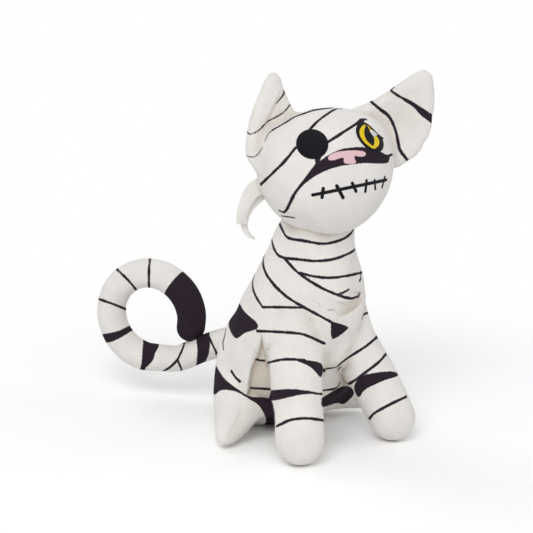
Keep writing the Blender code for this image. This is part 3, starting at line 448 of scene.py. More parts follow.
BODY_PATCHES = [
    [
        (239, 302), (245, 312), (257, 323), (256.5, 329), (245, 333), (236, 338.5), (229.7, 329.5),
        (229, 321), (234, 310),
    ],
    [(331, 321), (346.7, 326), (346.7, 330), (335, 338.6), (331, 336)],
    [(291, 359), (306, 360), (322, 364), (321, 377.4), (312.8, 369), (303, 363.4)],
    [(271, 390), (293, 389), (309, 391), (319.7, 393.3), (299.5, 395), (271, 400.7)],
    [
        (363.6, 375), (379.6, 372), (394, 371.6), (397.5, 376), (383, 381), (365.4, 389.5),
        (358.7, 397.5), (354, 387.7), (358, 379),
    ],
    [(321.6, 398), (340.4, 387), (350, 387), (354, 394), (344, 404), (337, 403), (322.5, 407)],
    [
        (213, 358), (217, 367), (225.4, 379.4), (238.7, 389.6), (251, 396.7), (272, 401),
        (274, 436), (262, 430), (266, 421), (263, 412), (258, 405), (249, 399), (235.6, 391.6),
        (222, 390), (213, 393),
    ],
]

# Body lines that run on round the back, from one pixel at the outline to another
BODY_BACK_LINES = [
    (1.5 * MM, (278.6, 221.5), (353, 230)),
    (1.5 * MM, (272.6, 237.5), (356.6, 245)),
    (1.5 * MM, (264, 257.5), (359.7, 273)),
    (1.5 * MM, (255.6, 271), (361, 296)),
    ((9.0 * MM, 1.4 * MM), (236, 316), (368, 312.7)),
    (1.6 * MM, (223.5, 345), (378, 333.7)),
    (8.0 * MM, (215, 377), (396, 373)),
    (1.6 * MM, (214, 391), (372, 404)),
]

TAIL_LINES = [
    (1.5 * MM, [(149.5, 254), (150, 258), (149, 270), (149, 286.5), (149, 290)]),
    (1.5 * MM, [(116, 268), (118, 270.4), (128, 280), (136.8, 290.5), (138.5, 293)]),
    (1.5 * MM, [(96, 298), (99, 299), (113, 304), (126.5, 309.5), (129, 310.5)]),
    (1.5 * MM, [
        (184.4, 343.8), (182.6, 348.5), (180.8, 352.9), (177.6, 359.3), (171.9, 365.7),
        (166.1, 369.8), (161.7, 371.7),
    ]),
    (1.4 * MM, [(177.6, 359.9), (181.5, 369.5)]),
    (1.4 * MM, [(208.9, 337), (216.5, 352.9)]),
]
TAIL_PATCHES = [
    [
        (99, 338), (107.6, 342.7), (120, 338), (130, 332), (136, 328), (133, 324), (118, 331),
        (99, 335),
    ],
    [
        (142.6, 335), (158.5, 343), (155.3, 352.9), (152.8, 360.6), (145.7, 368.2), (143.8, 373),
        (139, 372), (141.3, 363.8), (143.2, 339.5),
    ],
    [
        (195.5, 336), (197.4, 351), (196, 371), (201, 369), (207.6, 357.4), (209.8, 347.8),
        (209.5, 340.8), (208.2, 331),
    ],
]
TAIL_TIP_EDGE = [(182.4, 269.7), (163.4, 289.8)]

# The embroidery, in the photograph's pixels
PATCH = ((312.2, 144.1), (16.3, 15.0), 14)
EYE = [
    (362.6, 121.9), (365.5, 122.4), (369.1, 124.8), (373.5, 128.9), (377.6, 133.2), (381.7, 136.6),
    (385.8, 139.2), (382.6, 139.2), (383.5, 141.7), (383.9, 145.2), (383, 149), (381, 151.3),
    (375, 152.5), (368, 149.6), (364.5, 146.4), (360.7, 142.2), (357.7, 137.5), (356.1, 133),
    (355.9, 129), (356.7, 126.2), (359.4, 122.6),
]
IRIS = [
    (366.2, 125), (364.2, 124.7), (362.2, 125.6), (360.3, 128.4), (359.4, 131.9), (360.1, 136),
    (362.3, 139.9), (365.5, 143.4), (368.8, 146), (371.8, 148.1), (374.6, 148.8), (377, 147.4),
    (378.7, 145.4), (379.4, 142.3), (378.9, 139.4), (376.9, 136.4), (374.4, 133.4), (371, 129.4),
    (368.4, 126),
]
PUPIL = [
    (366.5, 123.6), (364.6, 128.8), (364, 132), (364.9, 136.5), (366.3, 139.8), (368.7, 142.5),
    (371, 144.6), (372.7, 146), (373.7, 145.3), (374.5, 143.1), (374.5, 139.9), (373.6, 136.9),
    (371.8, 134.4), (370, 131.2), (369.2, 129), (367.6, 126.2),
]
GLINT = [
    (369.6, 131.3), (371.2, 129.6), (373, 130.4), (377.6, 134.4), (375.4, 136.8), (373.4, 136.4),
]

# Each row of the mouth has its width in pixels
MOUTH_LINES = [
    (3.3, [(311, 195.3), (330, 191.6), (350, 187.4), (370, 183.3), (387, 179.7)]),
    (3.3, [(323.5, 186.8), (321.8, 199)]),
    (3.4, [(336, 184.4), (343.8, 199)]),
    (3.2, [(351.6, 181.8), (356.6, 192.6)]),
    (2.9, [(366.7, 179), (365.2, 193)]),
    (2.3, [(374.5, 178.8), (375.3, 190.2)]),
    (2.2, [(385, 175.6), (381.6, 188.6)]),
]


def linear(hex_colour):
    """An sRGB colour as linear red, green and blue."""
    channels = [(hex_colour >> shift & 255) / 255 for shift in (16, 8, 0)]
    return [c / 12.92 if c <= 0.04045 else ((c + 0.055) / 1.055) ** 2.4 for c in channels]


def size(name, description, default):
    return bpy.props.FloatProperty(
        name=name, description=description, default=default, unit="LENGTH"
    )


def colour(name, description, hex_colour):
    return bpy.props.FloatVectorProperty(
        name=name, description=description, default=linear(hex_colour), subtype="COLOR",
        min=0, max=1,
    )


class PlushSettings(bpy.types.PropertyGroup):
    """Sizes and colours of the printed plush."""

    body_voxel: size("Body grain", "Face size of the body's first skin", 3.4 * MM)
    head_voxel: size("Head grain", "Face size of the head's first skin", 3.0 * MM)
    leg_voxel: size("Leg grain", "Face size of a front leg's first skin", 2.8 * MM)
    pressure: bpy.props.FloatProperty(
        name="Stuffing", description="How hard it is stuffed", default=30
    )
    most_puff: size("Most puff", "How far stuffing may push the cloth out", 1.6 * MM)
    pile: size("Pile", "Distance between the tufts that show", 1.1 * MM)
    cloth: colour("Cloth", "Undyed pile", 0xEFECE8)
    # Painted shade: the darker, warmer cloth colour laid into creases, hollows, tucks and shut-in
    # places
    fold_shade: colour("Folds", "Pile that is pressed together in a fold", 0xD8CFC3)
    ink: colour("Ink", "Printed lines and patches", 0x2E242D)
    nose: colour("Nose", "Printed nose", 0xE9C4CB)


class ThreadSettings(bpy.types.PropertyGroup):
    """Sizes and colours of the embroidery."""

    thread: size("Thread", "Width of one satin stitch", 0.45 * MM)
    black: colour("Black", "Black thread", 0x1C1A20)
    yellow: colour("Yellow", "Yellow thread", 0xFFE02E)
    white: colour("White", "White thread", 0xF4F2EE)


class StudioSettings(bpy.types.PropertyGroup):
    """The camera, the floor and the light."""

    azimuth: bpy.props.FloatProperty(
        name="Azimuth", description="Camera's way round", default=math.radians(-37), subtype="ANGLE"
    )
    elevation: bpy.props.FloatProperty(
        name="Elevation", description="Camera's height", default=math.radians(14), subtype="ANGLE"
    )
    distance: size("Distance", "From the camera to what it aims at", 1.1)
    lens: bpy.props.FloatProperty(
        name="Lens", description="Focal length in millimetres", default=117
    )
    floor: colour("Floor", "Paper under the cat", 0xF6F6F6)


def settings(name):
    return getattr(bpy.context.scene, "mummy_cat_" + name)


# The photograph's lines, in its own pixels


class PhotoView:
    """The photograph's pixels as rays from the camera that matches it."""

    def __init__(self):
        studio = settings("studio")
        flat = math.cos(studio.elevation)
        self.back = Vector((
            math.sin(studio.azimuth) * flat,
            -math.cos(studio.azimuth) * flat,
            math.sin(studio.elevation),
        ))
        self.right = UP.cross(self.back).normalized()
        self.up = self.back.cross(self.right)
        self.place = CAMERA_AIM + self.back * studio.distance
        self.scale = PHOTO_SIZE * studio.lens / SENSOR_WIDTH
        self.pixel_size = studio.distance / self.scale

    def ray(self, x, y):
        across, down = x - PHOTO_SIZE / 2, y - PHOTO_SIZE / 2
        return (self.right * across - self.up * down - self.back * self.scale).normalized()

    def pixels(self, points):
        """Where points appear: their pixel coordinates."""
        offset = points - np.array(self.place)
        depth = -(offset @ np.array(self.back))
        x = (offset @ np.array(self.right)) / depth * self.scale + PHOTO_SIZE / 2
        y = PHOTO_SIZE / 2 - (offset @ np.array(self.up)) / depth * self.scale
        return np.stack([x, y], axis=1)

    def hit(self, tree, x, y, behind=False):
        """The first point of a skin under a pixel, or the last one, or none."""
        way = self.ray(x, y)
        if behind:
            far = self.place + way * (2 * settings("studio").distance)
            return tree.ray_cast(far, -way)[0]
        return tree.ray_cast(self.place, way)[0]


def smooth(values, count):
    """Samples of a Catmull-Rom curve through the values, which may be numbers or vectors."""
    padded = [2 * values[0] - values[1], *values, 2 * values[-1] - values[-2]]
    spans = len(values) - 1
    samples = []
    for k in range(count):
        along = spans * k / (count - 1)
        span = min(int(along), spans - 1)
        t = along - span
        a, b, c, d = padded[span : span + 4]
        line = 2 * b + (c - a) * t
        bend = (2 * a - 5 * b + 4 * c - d) * t * t + (3 * b - a - 3 * c + d) * t**3
        samples.append(0.5 * (line + bend))
    return samples


# Meshes


def only(obj):
    """Selects this object alone, and makes it the active one."""
    bpy.ops.object.select_all(action="DESELECT")
    bpy.context.view_layer.objects.active = obj
    obj.select_set(True)


def applied(obj, kind, **values):
    """Adds a modifier with these settings and applies it."""
    only(obj)
    modifier = obj.modifiers.new(kind, kind)
    for key, value in values.items():
        setattr(modifier, key, value)
    bpy.ops.object.modifier_apply(modifier=modifier.name)


def places(obj):
    found = np.empty(len(obj.data.vertices) * 3)
    obj.data.vertices.foreach_get("co", found)
    return found.reshape(-1, 3)


def place_at(obj, points):
    obj.data.vertices.foreach_set("co", np.asarray(points, np.float32).ravel())
    obj.data.update()


def normals(obj):
    found = np.empty(len(obj.data.vertices) * 3)
    obj.data.vertices.foreach_get("normal", found)
    return found.reshape(-1, 3)


def kept_as(obj, name, values):
    """Keeps one number for each point of a mesh, for its material to read."""
    made = obj.data.attributes.new(name, "FLOAT", "POINT")
    made.data.foreach_set("value", np.asarray(values, np.float32))


def surface(obj):
    mesh = obj.data
    corners = [tuple(polygon.vertices) for polygon in mesh.polygons]
    return BVHTree.FromPolygons([v.co for v in mesh.vertices], corners)


def from_nodes(name, nodes):
    """A new object that holds copies of the model's solids."""
    mesh = bmesh.new()
    for node in nodes:
        mesh.from_mesh(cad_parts[node].data)
    bmesh.ops.remove_doubles(mesh, verts=mesh.verts, dist=1e-6)
    return object_of(name, mesh)


def surroundings():
    """All the model's solids as one surface, which shuts in the creases between them for the
    painted shade.
    """
    mesh = bmesh.new()
    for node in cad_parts.values():
        mesh.from_mesh(node.data)
    tree = BVHTree.FromBMesh(mesh)
    mesh.free()
    return tree


def object_of(name, mesh):
    data = bpy.data.meshes.new(name)
    mesh.to_mesh(data)
    mesh.free()
    obj = bpy.data.objects.new(name, data)
    bpy.context.scene.collection.objects.link(obj)
    return obj


def hull_of(name, nodes):
    """The closed round form of solids that have an opening, such as the head's socket."""
    obj = from_nodes(name, nodes)
    only(obj)
    bpy.ops.object.mode_set(mode="EDIT")
    bpy.ops.mesh.select_all(action="SELECT")
    bpy.ops.mesh.convex_hull()
    bpy.ops.object.mode_set(mode="OBJECT")
    return obj


def ball(name, segments, rings):
    """A new sphere of radius 1, to be shaped."""
    bpy.ops.object.select_all(action="DESELECT")
    bpy.ops.mesh.primitive_uv_sphere_add(segments=segments, ring_count=rings, radius=1)
    obj = bpy.context.active_object
    obj.name = obj.data.name = name
    return obj


def outwards(obj, merged=False):
    """Turns all faces outwards, and first merges a shape's doubled points if it has them."""
    only(obj)
    bpy.ops.object.mode_set(mode="EDIT")
    bpy.ops.mesh.select_all(action="SELECT")
    if merged:
        bpy.ops.mesh.remove_doubles(threshold=1e-6)
    bpy.ops.mesh.normals_make_consistent(inside=False)
    bpy.ops.object.mode_set(mode="OBJECT")


def joined(objects):
    """One object out of several."""
    only(objects[0])
    for obj in objects[1:]:
        obj.select_set(True)
    bpy.ops.object.join()
    return objects[0]


def outer_skin(obj):
    """Leaves the largest closed surface, so no hollow stays inside."""
    mesh = bmesh.new()
    mesh.from_mesh(obj.data)
    left = set(mesh.verts)
    groups = []
    while left:
        group = {left.pop()}
        edge = list(group)
        while edge:
            near = [e.other_vert(v) for v in edge for e in v.link_edges]
            edge = [v for v in set(near) if v in left]
            left.difference_update(edge)
            group.update(edge)
        groups.append(group)
    groups.sort(key=len)
    for group in groups[:-1]:
        bmesh.ops.delete(mesh, geom=list(group), context="VERTS")
    mesh.to_mesh(obj.data)
    mesh.free()


def first_skin(obj, voxel, rounds):
    """Cloth all over a solid: facets smoothed away, creases bridged, and its size kept."""
    applied(obj, "REMESH", mode="VOXEL", voxel_size=voxel)
    outer_skin(obj)
    faceted = surface(obj)
    applied(obj, "SMOOTH", factor=0.5, iterations=rounds)
    points, ways = places(obj), normals(obj)
    shrunk = []
    for place, way in zip(points, ways):
        start = Vector(place) - Vector(way) * GIVEN_BACK
        shrunk.append((faceted.ray_cast(start, Vector(way))[3] or GIVEN_BACK) - GIVEN_BACK)
    lost = spread(obj, np.clip(shrunk, 0, GIVEN_BACK), GIVEN_BACK_ROUNDS)
    place_at(obj, points + ways * lost[:, None])


def spread(obj, values, rounds):
    """Evens values out over a mesh, from each point to its neighbours."""
    edges = np.empty(len(obj.data.edges) * 2, np.int32)
    obj.data.edges.foreach_get("vertices", edges)
    a, b = edges.reshape(-1, 2).T
    count = np.bincount(a, minlength=len(values)) + np.bincount(b, minlength=len(values))
    values = np.asarray(values, float)
    for _ in range(rounds):
        total = np.bincount(a, values[b], len(values)) + np.bincount(b, values[a], len(values))
        values = 0.5 * values + 0.5 * total / count
    return values


def even_places(obj, rounds):
    """Where a mesh's points would lie with its grain smoothed out."""
    points = places(obj)
    return np.stack([spread(obj, points[:, k], rounds) for k in range(3)], axis=1)


def stuffed(obj):
    """Lets the stuffing press the cloth out, as far as the cloth gives."""
    plush = settings("plush")
    rest = places(obj)
    cloth = obj.modifiers.new("Stuffing", "CLOTH")
    cloth.settings.use_pressure = True
    cloth.settings.uniform_pressure_force = plush.pressure
    cloth.settings.effector_weights.gravity = 0
    for step in range(1, CLOTH_FRAMES + 1):
        bpy.context.scene.frame_set(step)
    pressed = obj.evaluated_get(bpy.context.evaluated_depsgraph_get())
    moved = places(pressed) - rest
    only(obj)
    obj.modifiers.remove(cloth)
    far = np.linalg.norm(moved, axis=1)
    share = np.minimum(1, plush.most_puff / np.maximum(far, TINY))
    place_at(obj, rest + moved * share[:, None])
    bpy.context.scene.frame_set(1)


def fine(obj, levels=2):
    applied(obj, "SUBSURF", levels=levels, render_levels=levels)


def on_the_floor(obj):
    """Flattens what would reach below the floor, as the cat's weight does."""
    points = places(obj)
    points[:, 2] = np.maximum(points[:, 2], 0)
    place_at(obj, points)


# Lumps and folds


def near_line(points, line, ways):
    """How far each point is from a line of points, and where along the line it is nearest.

    The points' normals are taken out, so that only the distance over the surface counts.
    """
    line = np.array([list(p) for p in line])
    lengths = np.linalg.norm(np.diff(line, axis=0), axis=1)
    starts = np.concatenate([[0], np.cumsum(lengths)])
    best = np.full(len(points), HUGE)
    along = np.zeros(len(points))
    for k in range(len(line) - 1):
        a, way = line[k], line[k + 1] - line[k]
        reach = max(lengths[k] ** 2, TINY * MM)
        t = np.clip((points - a) @ way / reach, 0, 1)
        off = points - a - t[:, None] * way
        raised = np.sum(off * ways, axis=1)
        off = off - ways * np.where(np.abs(raised) < DIP, raised, 0)[:, None]
        far = np.linalg.norm(off, axis=1)
        nearer = far < best
        best[nearer] = far[nearer]
        along[nearer] = starts[k] + t[nearer] * lengths[k]
    return best, along


def lumpy(obj, height, width, seed):
    """Soft uneven stuffing."""
    points, ways = places(obj), normals(obj)
    shift = Vector((seed, seed * 0.7, -seed))
    lift = [noise.noise(Vector(p) / width + shift) for p in points]
    place_at(obj, points + ways * (np.array(lift) * height)[:, None])


def hollows(obj):
    """How deep in a hollow each point lies, from 0 in the open to 1, for the painted shade."""
    bend = np.sum((even_places(obj, HOLLOW_REACH) - places(obj)) * normals(obj), axis=1)
    return np.clip(spread(obj, bend, HOLLOW_ROUNDS) / HOLLOW_DEPTH, 0, 1)


def pulled(obj, pulls, tree, view):
    """Shapes the stuffing: each pull has its pixel, its reach, and how far it goes."""
    points = places(obj)
    forward = UP.cross(view.right) * -1
    for x, y, reach, across, up, on in pulls:
        centre = edge_hit(tree, (x, y), MIDDLE_PIXEL, view)
        near = np.exp(-(np.linalg.norm(points - np.array(centre), axis=1) / (reach * MM)) ** 2)
        points += np.outer(near, (view.right * across + view.up * up + forward * on) * MM)
    place_at(obj, points)


def enclosed(obj, room):
    """How much of what surrounds each point is cloth close by, from 0 in the open to 1."""
    rays = []
    for k in range(ROOM_RAYS):
        height = math.sqrt((k + 0.5) / ROOM_RAYS)
        turn = k * math.pi * (3 - math.sqrt(5))
        flat = math.sqrt(1 - height * height)
        rays.append(Vector((flat * math.cos(turn), flat * math.sin(turn), height)))
    found = []
    for place, way in zip(places(obj), normals(obj)):
        turn = Vector(way).to_track_quat("Z", "Y")
        start = Vector(place) + Vector(way) * ROOM_START
        hits = [room.ray_cast(start, turn @ ray, ROOM_REACH)[0] for ray in rays]
        found.append(sum(hit is not None for hit in hits))
    return spread(obj, np.array(found) / ROOM_RAYS, ROOM_ROUNDS)


def painted_fold_shade(obj, room):
    """Painted shade: how much darker and warmer the pile is painted where it is shut in or lies in
    a hollow.
    """
    shut = np.clip((enclosed(obj, room) - OPEN_SHARE) * SHUT_SHADE, 0, 1)
    return np.maximum(shut, HOLLOW_SHADE * hollows(obj))


def eased(value):
    """0 below 0, 1 above 1, and a soft step between them."""
    t = min(max(value, 0), 1)
    return t * t * t * (t * (6 * t - 15) + 10)


def evened(obj, rounds):
    """Smooths the last of the first skin's grain out of the cloth."""
    place_at(obj, even_places(obj, rounds))


def attribute_of(obj, name):
    found = np.empty(len(obj.data.vertices))
    obj.data.attributes[name].data.foreach_get("value", found)
    return found


def set_attribute(obj, name, values):
    obj.data.attributes[name].data.foreach_set("value", np.asarray(values, np.float32))


def laid_on(obj, whole, tree, fold_shades, lift, others):
    """Lays the upper part of a cover on the skin of the whole body.

    Where it runs on deep inside one of the other covers it sinks below that skin. Returns
    the normals that the print follows.
    """
    corners = [list(polygon.vertices) for polygon in whole.data.polygons]
    own = attribute_of(obj, "fold_shade")
    laid, laid_shades, ways = [], [], []
    for place, normal, tint in zip(places(obj), normals(obj), own):
        point = Vector(place)
        deep = 0
        for other in others:
            near, way, _, far = other.find_nearest(point)
            if (point - near).dot(way) < 0:
                deep = max(deep, far)
        near, way, index, _ = tree.find_nearest(point)
        height = (point - near).dot(way)
        seen = 1 - eased((deep - FUSED) / FUSED_SPAN)
        shared = eased((point.z - LEG_FREE) / LEG_FREE_SPAN)
        target = lift * seen + min(height, -SINK) * (1 - seen)
        laid.append(point + way * ((target - height) * shared))
        if seen == 1:
            laid[-1] = point.lerp(near + way * lift, shared)
        share = seen * shared
        # The cover takes the painted shade of the whole body's skin where it lies on it
        laid_shades.append(fold_shades[corners[index]].mean() * share + tint * (1 - share))
        ways.append(Vector(normal).lerp(way, share).normalized())
    place_at(obj, laid)
    set_attribute(obj, "fold_shade", laid_shades)
    return np.array([list(way) for way in ways])


def pressed_in(obj, outline, depth, view):
    """Presses the cloth straight back inside an outline of pixels, with a crisp edge."""
    points, facing = places(obj), normals(obj) @ np.array(view.back)
    gap = inside_gap(view.pixels(points), softened(outline)) * view.pixel_size
    share = np.clip(0.5 - gap / PRESS_EDGE, 0, 1) * (facing > PRESS_LIMIT)
    place_at(obj, points - np.outer(share * depth, view.back))
    # Painted shade: the pressed-in hollow gets the darker, warmer cloth colour
    set_attribute(obj, "fold_shade", np.maximum(attribute_of(obj, "fold_shade"), share))


def tucked(obj, ways, line, depth, fade, view):
    """Tucks the cloth in beside a line of pixels, on its right as the line is followed.

    The cloth drops sharply at the line, and rises again over the distance of fade.
    """
    points = places(obj)
    pixels = view.pixels(points)
    corners = np.array([list(p) for p in smooth([Vector(p) for p in line], TUCK_STEPS)])
    best = np.full(len(points), HUGE)
    side, share = np.zeros(len(points)), np.zeros(len(points))
    for k, (a, b) in enumerate(zip(corners, corners[1:])):
        way = b - a
        off = pixels - a
        t = np.clip(off @ way / (way @ way), 0, 1)
        gap = np.linalg.norm(off - t[:, None] * way, axis=1)
        nearer = gap < best
        best[nearer] = gap[nearer]
        side[nearer] = (way[0] * off[:, 1] - way[1] * off[:, 0])[nearer]
        share[nearer] = ((k + t) / (TUCK_STEPS - 1))[nearer]
    gap = best * view.pixel_size * np.sign(side)
    drop = np.clip(gap / TUCK_EDGE + 0.5, 0, 1) * np.exp(-np.maximum(gap, 0) / fade)
    drop *= np.clip(np.sin(math.pi * share) * TUCK_FULLNESS, 0, 1)
    drop *= np.clip((ways @ np.array(view.back) - TUCK_LIMIT) * TUCK_SHARPNESS, 0, 1)
    place_at(obj, points - np.outer(drop * depth, view.back))
    # Painted shade beside the tuck, darker the deeper it is tucked
    tint = drop * min(depth / TUCK_SHADED, 1)
    set_attribute(obj, "fold_shade", np.maximum(attribute_of(obj, "fold_shade"), tint))


def tube(name, line, half_width, height, ways, segments, rings):
    """A closed round-ended tube along a line of points, made from a sphere."""
    obj = ball(name, segments, rings)
    line = np.array([list(p) for p in line])
    ways = np.array([list(w) for w in ways])
    steps = np.linalg.norm(np.diff(line, axis=0), axis=1)
    starts = np.concatenate([[0], np.cumsum(steps)])
    total = starts[-1]
    x, y, z = places(obj).T
    share = np.arccos(np.clip(z, -1, 1)) / math.pi
    along = total * (share - END_EASE * np.sin(math.tau * share))
    around = np.arctan2(y, x)
    middle = np.stack([np.interp(along, starts, line[:, k]) for k in range(3)], axis=1)
    out = np.stack([np.interp(along, starts, ways[:, k]) for k in range(3)], axis=1)
    slope = np.gradient(line, starts, axis=0)
    forward = np.stack([np.interp(along, starts, slope[:, k]) for k in range(3)], axis=1)
    forward /= np.linalg.norm(forward, axis=1)[:, None]
    out -= forward * np.sum(out * forward, axis=1)[:, None]
    out /= np.linalg.norm(out, axis=1)[:, None]
    side = np.cross(forward, out)
    wide = np.interp(along, starts, np.broadcast_to(half_width, len(line)))
    high = np.interp(along, starts, np.broadcast_to(height, len(line)))
    end = np.minimum(along, total - along) / wide
    rounded = np.sqrt(np.clip(1 - (1 - np.minimum(end, 1)) ** 2, 0, 1))
    aside = side * (wide * rounded * np.cos(around))[:, None]
    above = out * (high * rounded * np.sin(around))[:, None]
    place_at(obj, middle + aside + above)
    kept_as(obj, "along", along)
    outwards(obj)
    return obj


def tail_line(count):
    """The tail's middle: from its root down to the sag, then once round to the tip."""
    out = Vector((-math.sin(TAIL_HEADING), math.cos(TAIL_HEADING), 0))
    sag = TAIL_ROOT + out * TAIL_SAG_REACH - UP * TAIL_SAG
    centre = TAIL_ROOT + out * TAIL_REACH + UP * TAIL_RING_RISE
    raised = TAIL_ROOT + UP * TAIL_ROOT_RAISED
    steps = []
    for k in range(TAIL_SAG_STEPS + 1):
        share = k / TAIL_SAG_STEPS
        steps.append(raised.lerp(sag, share) + UP * TAIL_BOW * math.sin(math.pi * share))
    for angle in np.linspace(TAIL_RING_START, TAIL_CURL, TAIL_RING_STEPS):
        steps.append(centre + (out * math.cos(angle) + UP * math.sin(angle)) * TAIL_RING_RADIUS)
    tip = (steps[-1] - steps[-2]).normalized()
    steps.append(steps[-1] + tip * TAIL_TIP_MORE)
    return smooth(steps, count)


def dressed(obj, material_made, nodes):
    """Smooth shading, the material, and hides the model's solids that the piece stands for."""
    only(obj)
    bpy.ops.object.shade_smooth()
    obj.data.materials.clear()
    obj.data.materials.append(material_made)
    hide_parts(*nodes)


# Materials


def add_node(tree, kind, settings=(), inputs=()):
    """Adds a node, sets it up and links it."""
    made = tree.nodes.new(kind)
    for key, value in dict(settings).items():
        setattr(made, key, value)
    for key, value in dict(inputs).items():
        if isinstance(value, bpy.types.NodeSocket):
            tree.links.new(value, made.inputs[key])
        else:
            made.inputs[key].default_value = value
    return made


def new_material(name):
    made = bpy.data.materials.new(name)
    made.use_nodes = True
    made.node_tree.nodes.clear()
    return made, made.node_tree


def rgba(values):
    return (*values, 1)


def printed_plush():
    """Short-pile polyester plush, screen printed: soft matt tufts, inked with fuzzy edges, and
    painted shade in its creases and hollows.
    """
    if "printed_polyester_plush" in bpy.data.materials:
        return bpy.data.materials["printed_polyester_plush"]
    plush = settings("plush")
    made, tree = new_material("printed_polyester_plush")
    place = add_node(tree, "ShaderNodeTexCoord").outputs["Object"]
    tufts = add_node(tree, "ShaderNodeTexNoise", inputs={
        "Vector": place, "Scale": 1 / plush.pile, "Detail": 3, "Roughness": 0.6,
    })
    clouds = add_node(tree, "ShaderNodeTexNoise", inputs={
        "Vector": place, "Scale": 1 / (14 * MM), "Detail": 2,
    })
    # The print soaks along the tufts, so each edge is ragged by about a third of a millimetre
    ragged = add_node(tree, "ShaderNodeMath", {"operation": "MULTIPLY_ADD"}, {
        0: tufts.outputs["Fac"], 1: 0.9 * MM, 2: -0.45 * MM,
    })
    stains = []
    for name in ("ink", "nose"):
        far = add_node(tree, "ShaderNodeAttribute", {"attribute_name": name}).outputs["Fac"]
        edge = add_node(tree, "ShaderNodeMath", {"operation": "ADD"}, {
            0: far, 1: ragged.outputs[0],
        })
        stains.append(add_node(tree, "ShaderNodeMapRange", {"interpolation_type": "SMOOTHSTEP"}, {
            "Value": edge.outputs[0], "From Min": -0.3 * MM, "From Max": 0.3 * MM,
            "To Min": 1.0, "To Max": 0.0,
        }))
    inked, nosed = stains
    # Painted shade: creases, hollows, tucks and shut-in places mix the cloth towards a darker,
    # warmer colour
    fold_shade = add_node(tree, "ShaderNodeAttribute", {"attribute_name": "fold_shade"}).outputs["Fac"]
    cloth = add_node(tree, "ShaderNodeMix", {"data_type": "RGBA"}, {
        0: fold_shade, 6: rgba(plush.cloth), 7: rgba(plush.fold_shade),
    })
    shade = add_node(tree, "ShaderNodeMapRange", inputs={
        "Value": clouds.outputs["Fac"], "From Min": 0.25, "From Max": 0.75,
        "To Min": 0.94, "To Max": 1.03,
    })
    speck = add_node(tree, "ShaderNodeMapRange", inputs={
        "Value": tufts.outputs["Fac"], "From Min": 0.3, "From Max": 0.7,
        "To Min": 0.955, "To Max": 1.02,
    })
    both = add_node(tree, "ShaderNodeMath", {"operation": "MULTIPLY"}, {
        0: shade.outputs[0], 1: speck.outputs[0],
    })
    tinted = add_node(tree, "ShaderNodeVectorMath", {"operation": "SCALE"}, {
        0: cloth.outputs[2], "Scale": both.outputs[0],
    })
    printed = add_node(tree, "ShaderNodeMix", {"data_type": "RGBA"}, {
        0: inked.outputs[0], 6: tinted.outputs[0], 7: rgba(plush.ink),
    })
    coloured = add_node(tree, "ShaderNodeMix", {"data_type": "RGBA"}, {
        0: nosed.outputs[0], 6: printed.outputs[2], 7: rgba(plush.nose),
    })
    pile = add_node(tree, "ShaderNodeBump", inputs={
        "Height": tufts.outputs["Fac"], "Distance": 0.35 * MM, "Strength": 0.6,
    })
    # Ink mats the pile, so only the bare pile has a soft sheen
    sheen = add_node(tree, "ShaderNodeMath", {"operation": "MULTIPLY_ADD"}, {
        0: inked.outputs[0], 1: -0.1, 2: 0.1,
    })
    cloth_shader = add_node(tree, "ShaderNodeBsdfPrincipled", inputs={
        "Base Color": coloured.outputs[2], "Roughness": 0.95, "Specular IOR Level": 0.1,
        "Sheen Weight": sheen.outputs[0], "Sheen Roughness": 0.6, "Normal": pile.outputs[0],
    })
    add_node(tree, "ShaderNodeOutputMaterial", inputs={"Surface": cloth_shader.outputs[0]})
    return made


def satin_thread(name, tint):
    """Polyester thread in satin stitch: glossy rows side by side, with a painted highlight on each
    row's crest and painted shade between the rows.
    """
    if name in bpy.data.materials:
        return bpy.data.materials[name]
    thread = settings("thread").thread
    made, tree = new_material(name)
    along = add_node(tree, "ShaderNodeAttribute", {"attribute_name": "along"}).outputs["Fac"]
    place = add_node(tree, "ShaderNodeTexCoord").outputs["Object"]
    fluff = add_node(tree, "ShaderNodeTexNoise", inputs={
        "Vector": place, "Scale": 1 / (0.6 * MM), "Detail": 2,
    })
    wander = add_node(tree, "ShaderNodeMath", {"operation": "MULTIPLY_ADD"}, {
        0: fluff.outputs["Fac"], 1: 0.35 * thread, 2: along,
    })
    turn = add_node(tree, "ShaderNodeMath", {"operation": "MULTIPLY"}, {
        0: wander.outputs[0], 1: math.tau / thread,
    })
    row = add_node(tree, "ShaderNodeMath", {"operation": "SINE"}, {0: turn.outputs[0]})
    # Painted highlight and shade: each row's colour is lighter on its crest and darker between rows
    row_highlight_and_shade = add_node(tree, "ShaderNodeMapRange", inputs={
        "Value": row.outputs[0], "From Min": -1, "From Max": 1, "To Min": 0.72, "To Max": 1.12,
    })
    tinted = add_node(tree, "ShaderNodeVectorMath", {"operation": "SCALE"}, {
        0: tint, "Scale": row_highlight_and_shade.outputs[0],
    })
    raised = add_node(tree, "ShaderNodeBump", inputs={
        "Height": row.outputs[0], "Distance": 0.25 * thread, "Strength": 0.8,
    })
    shader = add_node(tree, "ShaderNodeBsdfPrincipled", inputs={
        "Base Color": tinted.outputs[0], "Roughness": 0.6, "Specular IOR Level": 0.1,
        "Normal": raised.outputs[0],
    })
    add_node(tree, "ShaderNodeOutputMaterial", inputs={"Surface": shader.outputs[0]})
    return made


# Printing


def drawn(tree, pixels, view, behind=False):
    """A photographed line as runs of points on a skin, broken where the skin steps away."""
    runs = [[]]
    for x, y in smooth([Vector(p) for p in pixels], STROKE_STEPS * len(pixels)):
        hit = view.hit(tree, x, y, behind)
        if hit is None or (runs[-1] and (hit - runs[-1][-1]).length > STEP_AWAY):
            runs.append([])
        if hit is not None:
            runs[-1].append(hit)
    return [run for run in runs if len(run) > 1]


def edge_hit(tree, start, end, view):
    """The first point of a skin on the way from one pixel to another."""
    for x, y in smooth([Vector(start), Vector(end)], BACK_STEPS):
        hit = view.hit(tree, x, y)
        if hit is not None:
            return hit
    raise RuntimeError(f"No cloth between the pixels {start} and {end}")


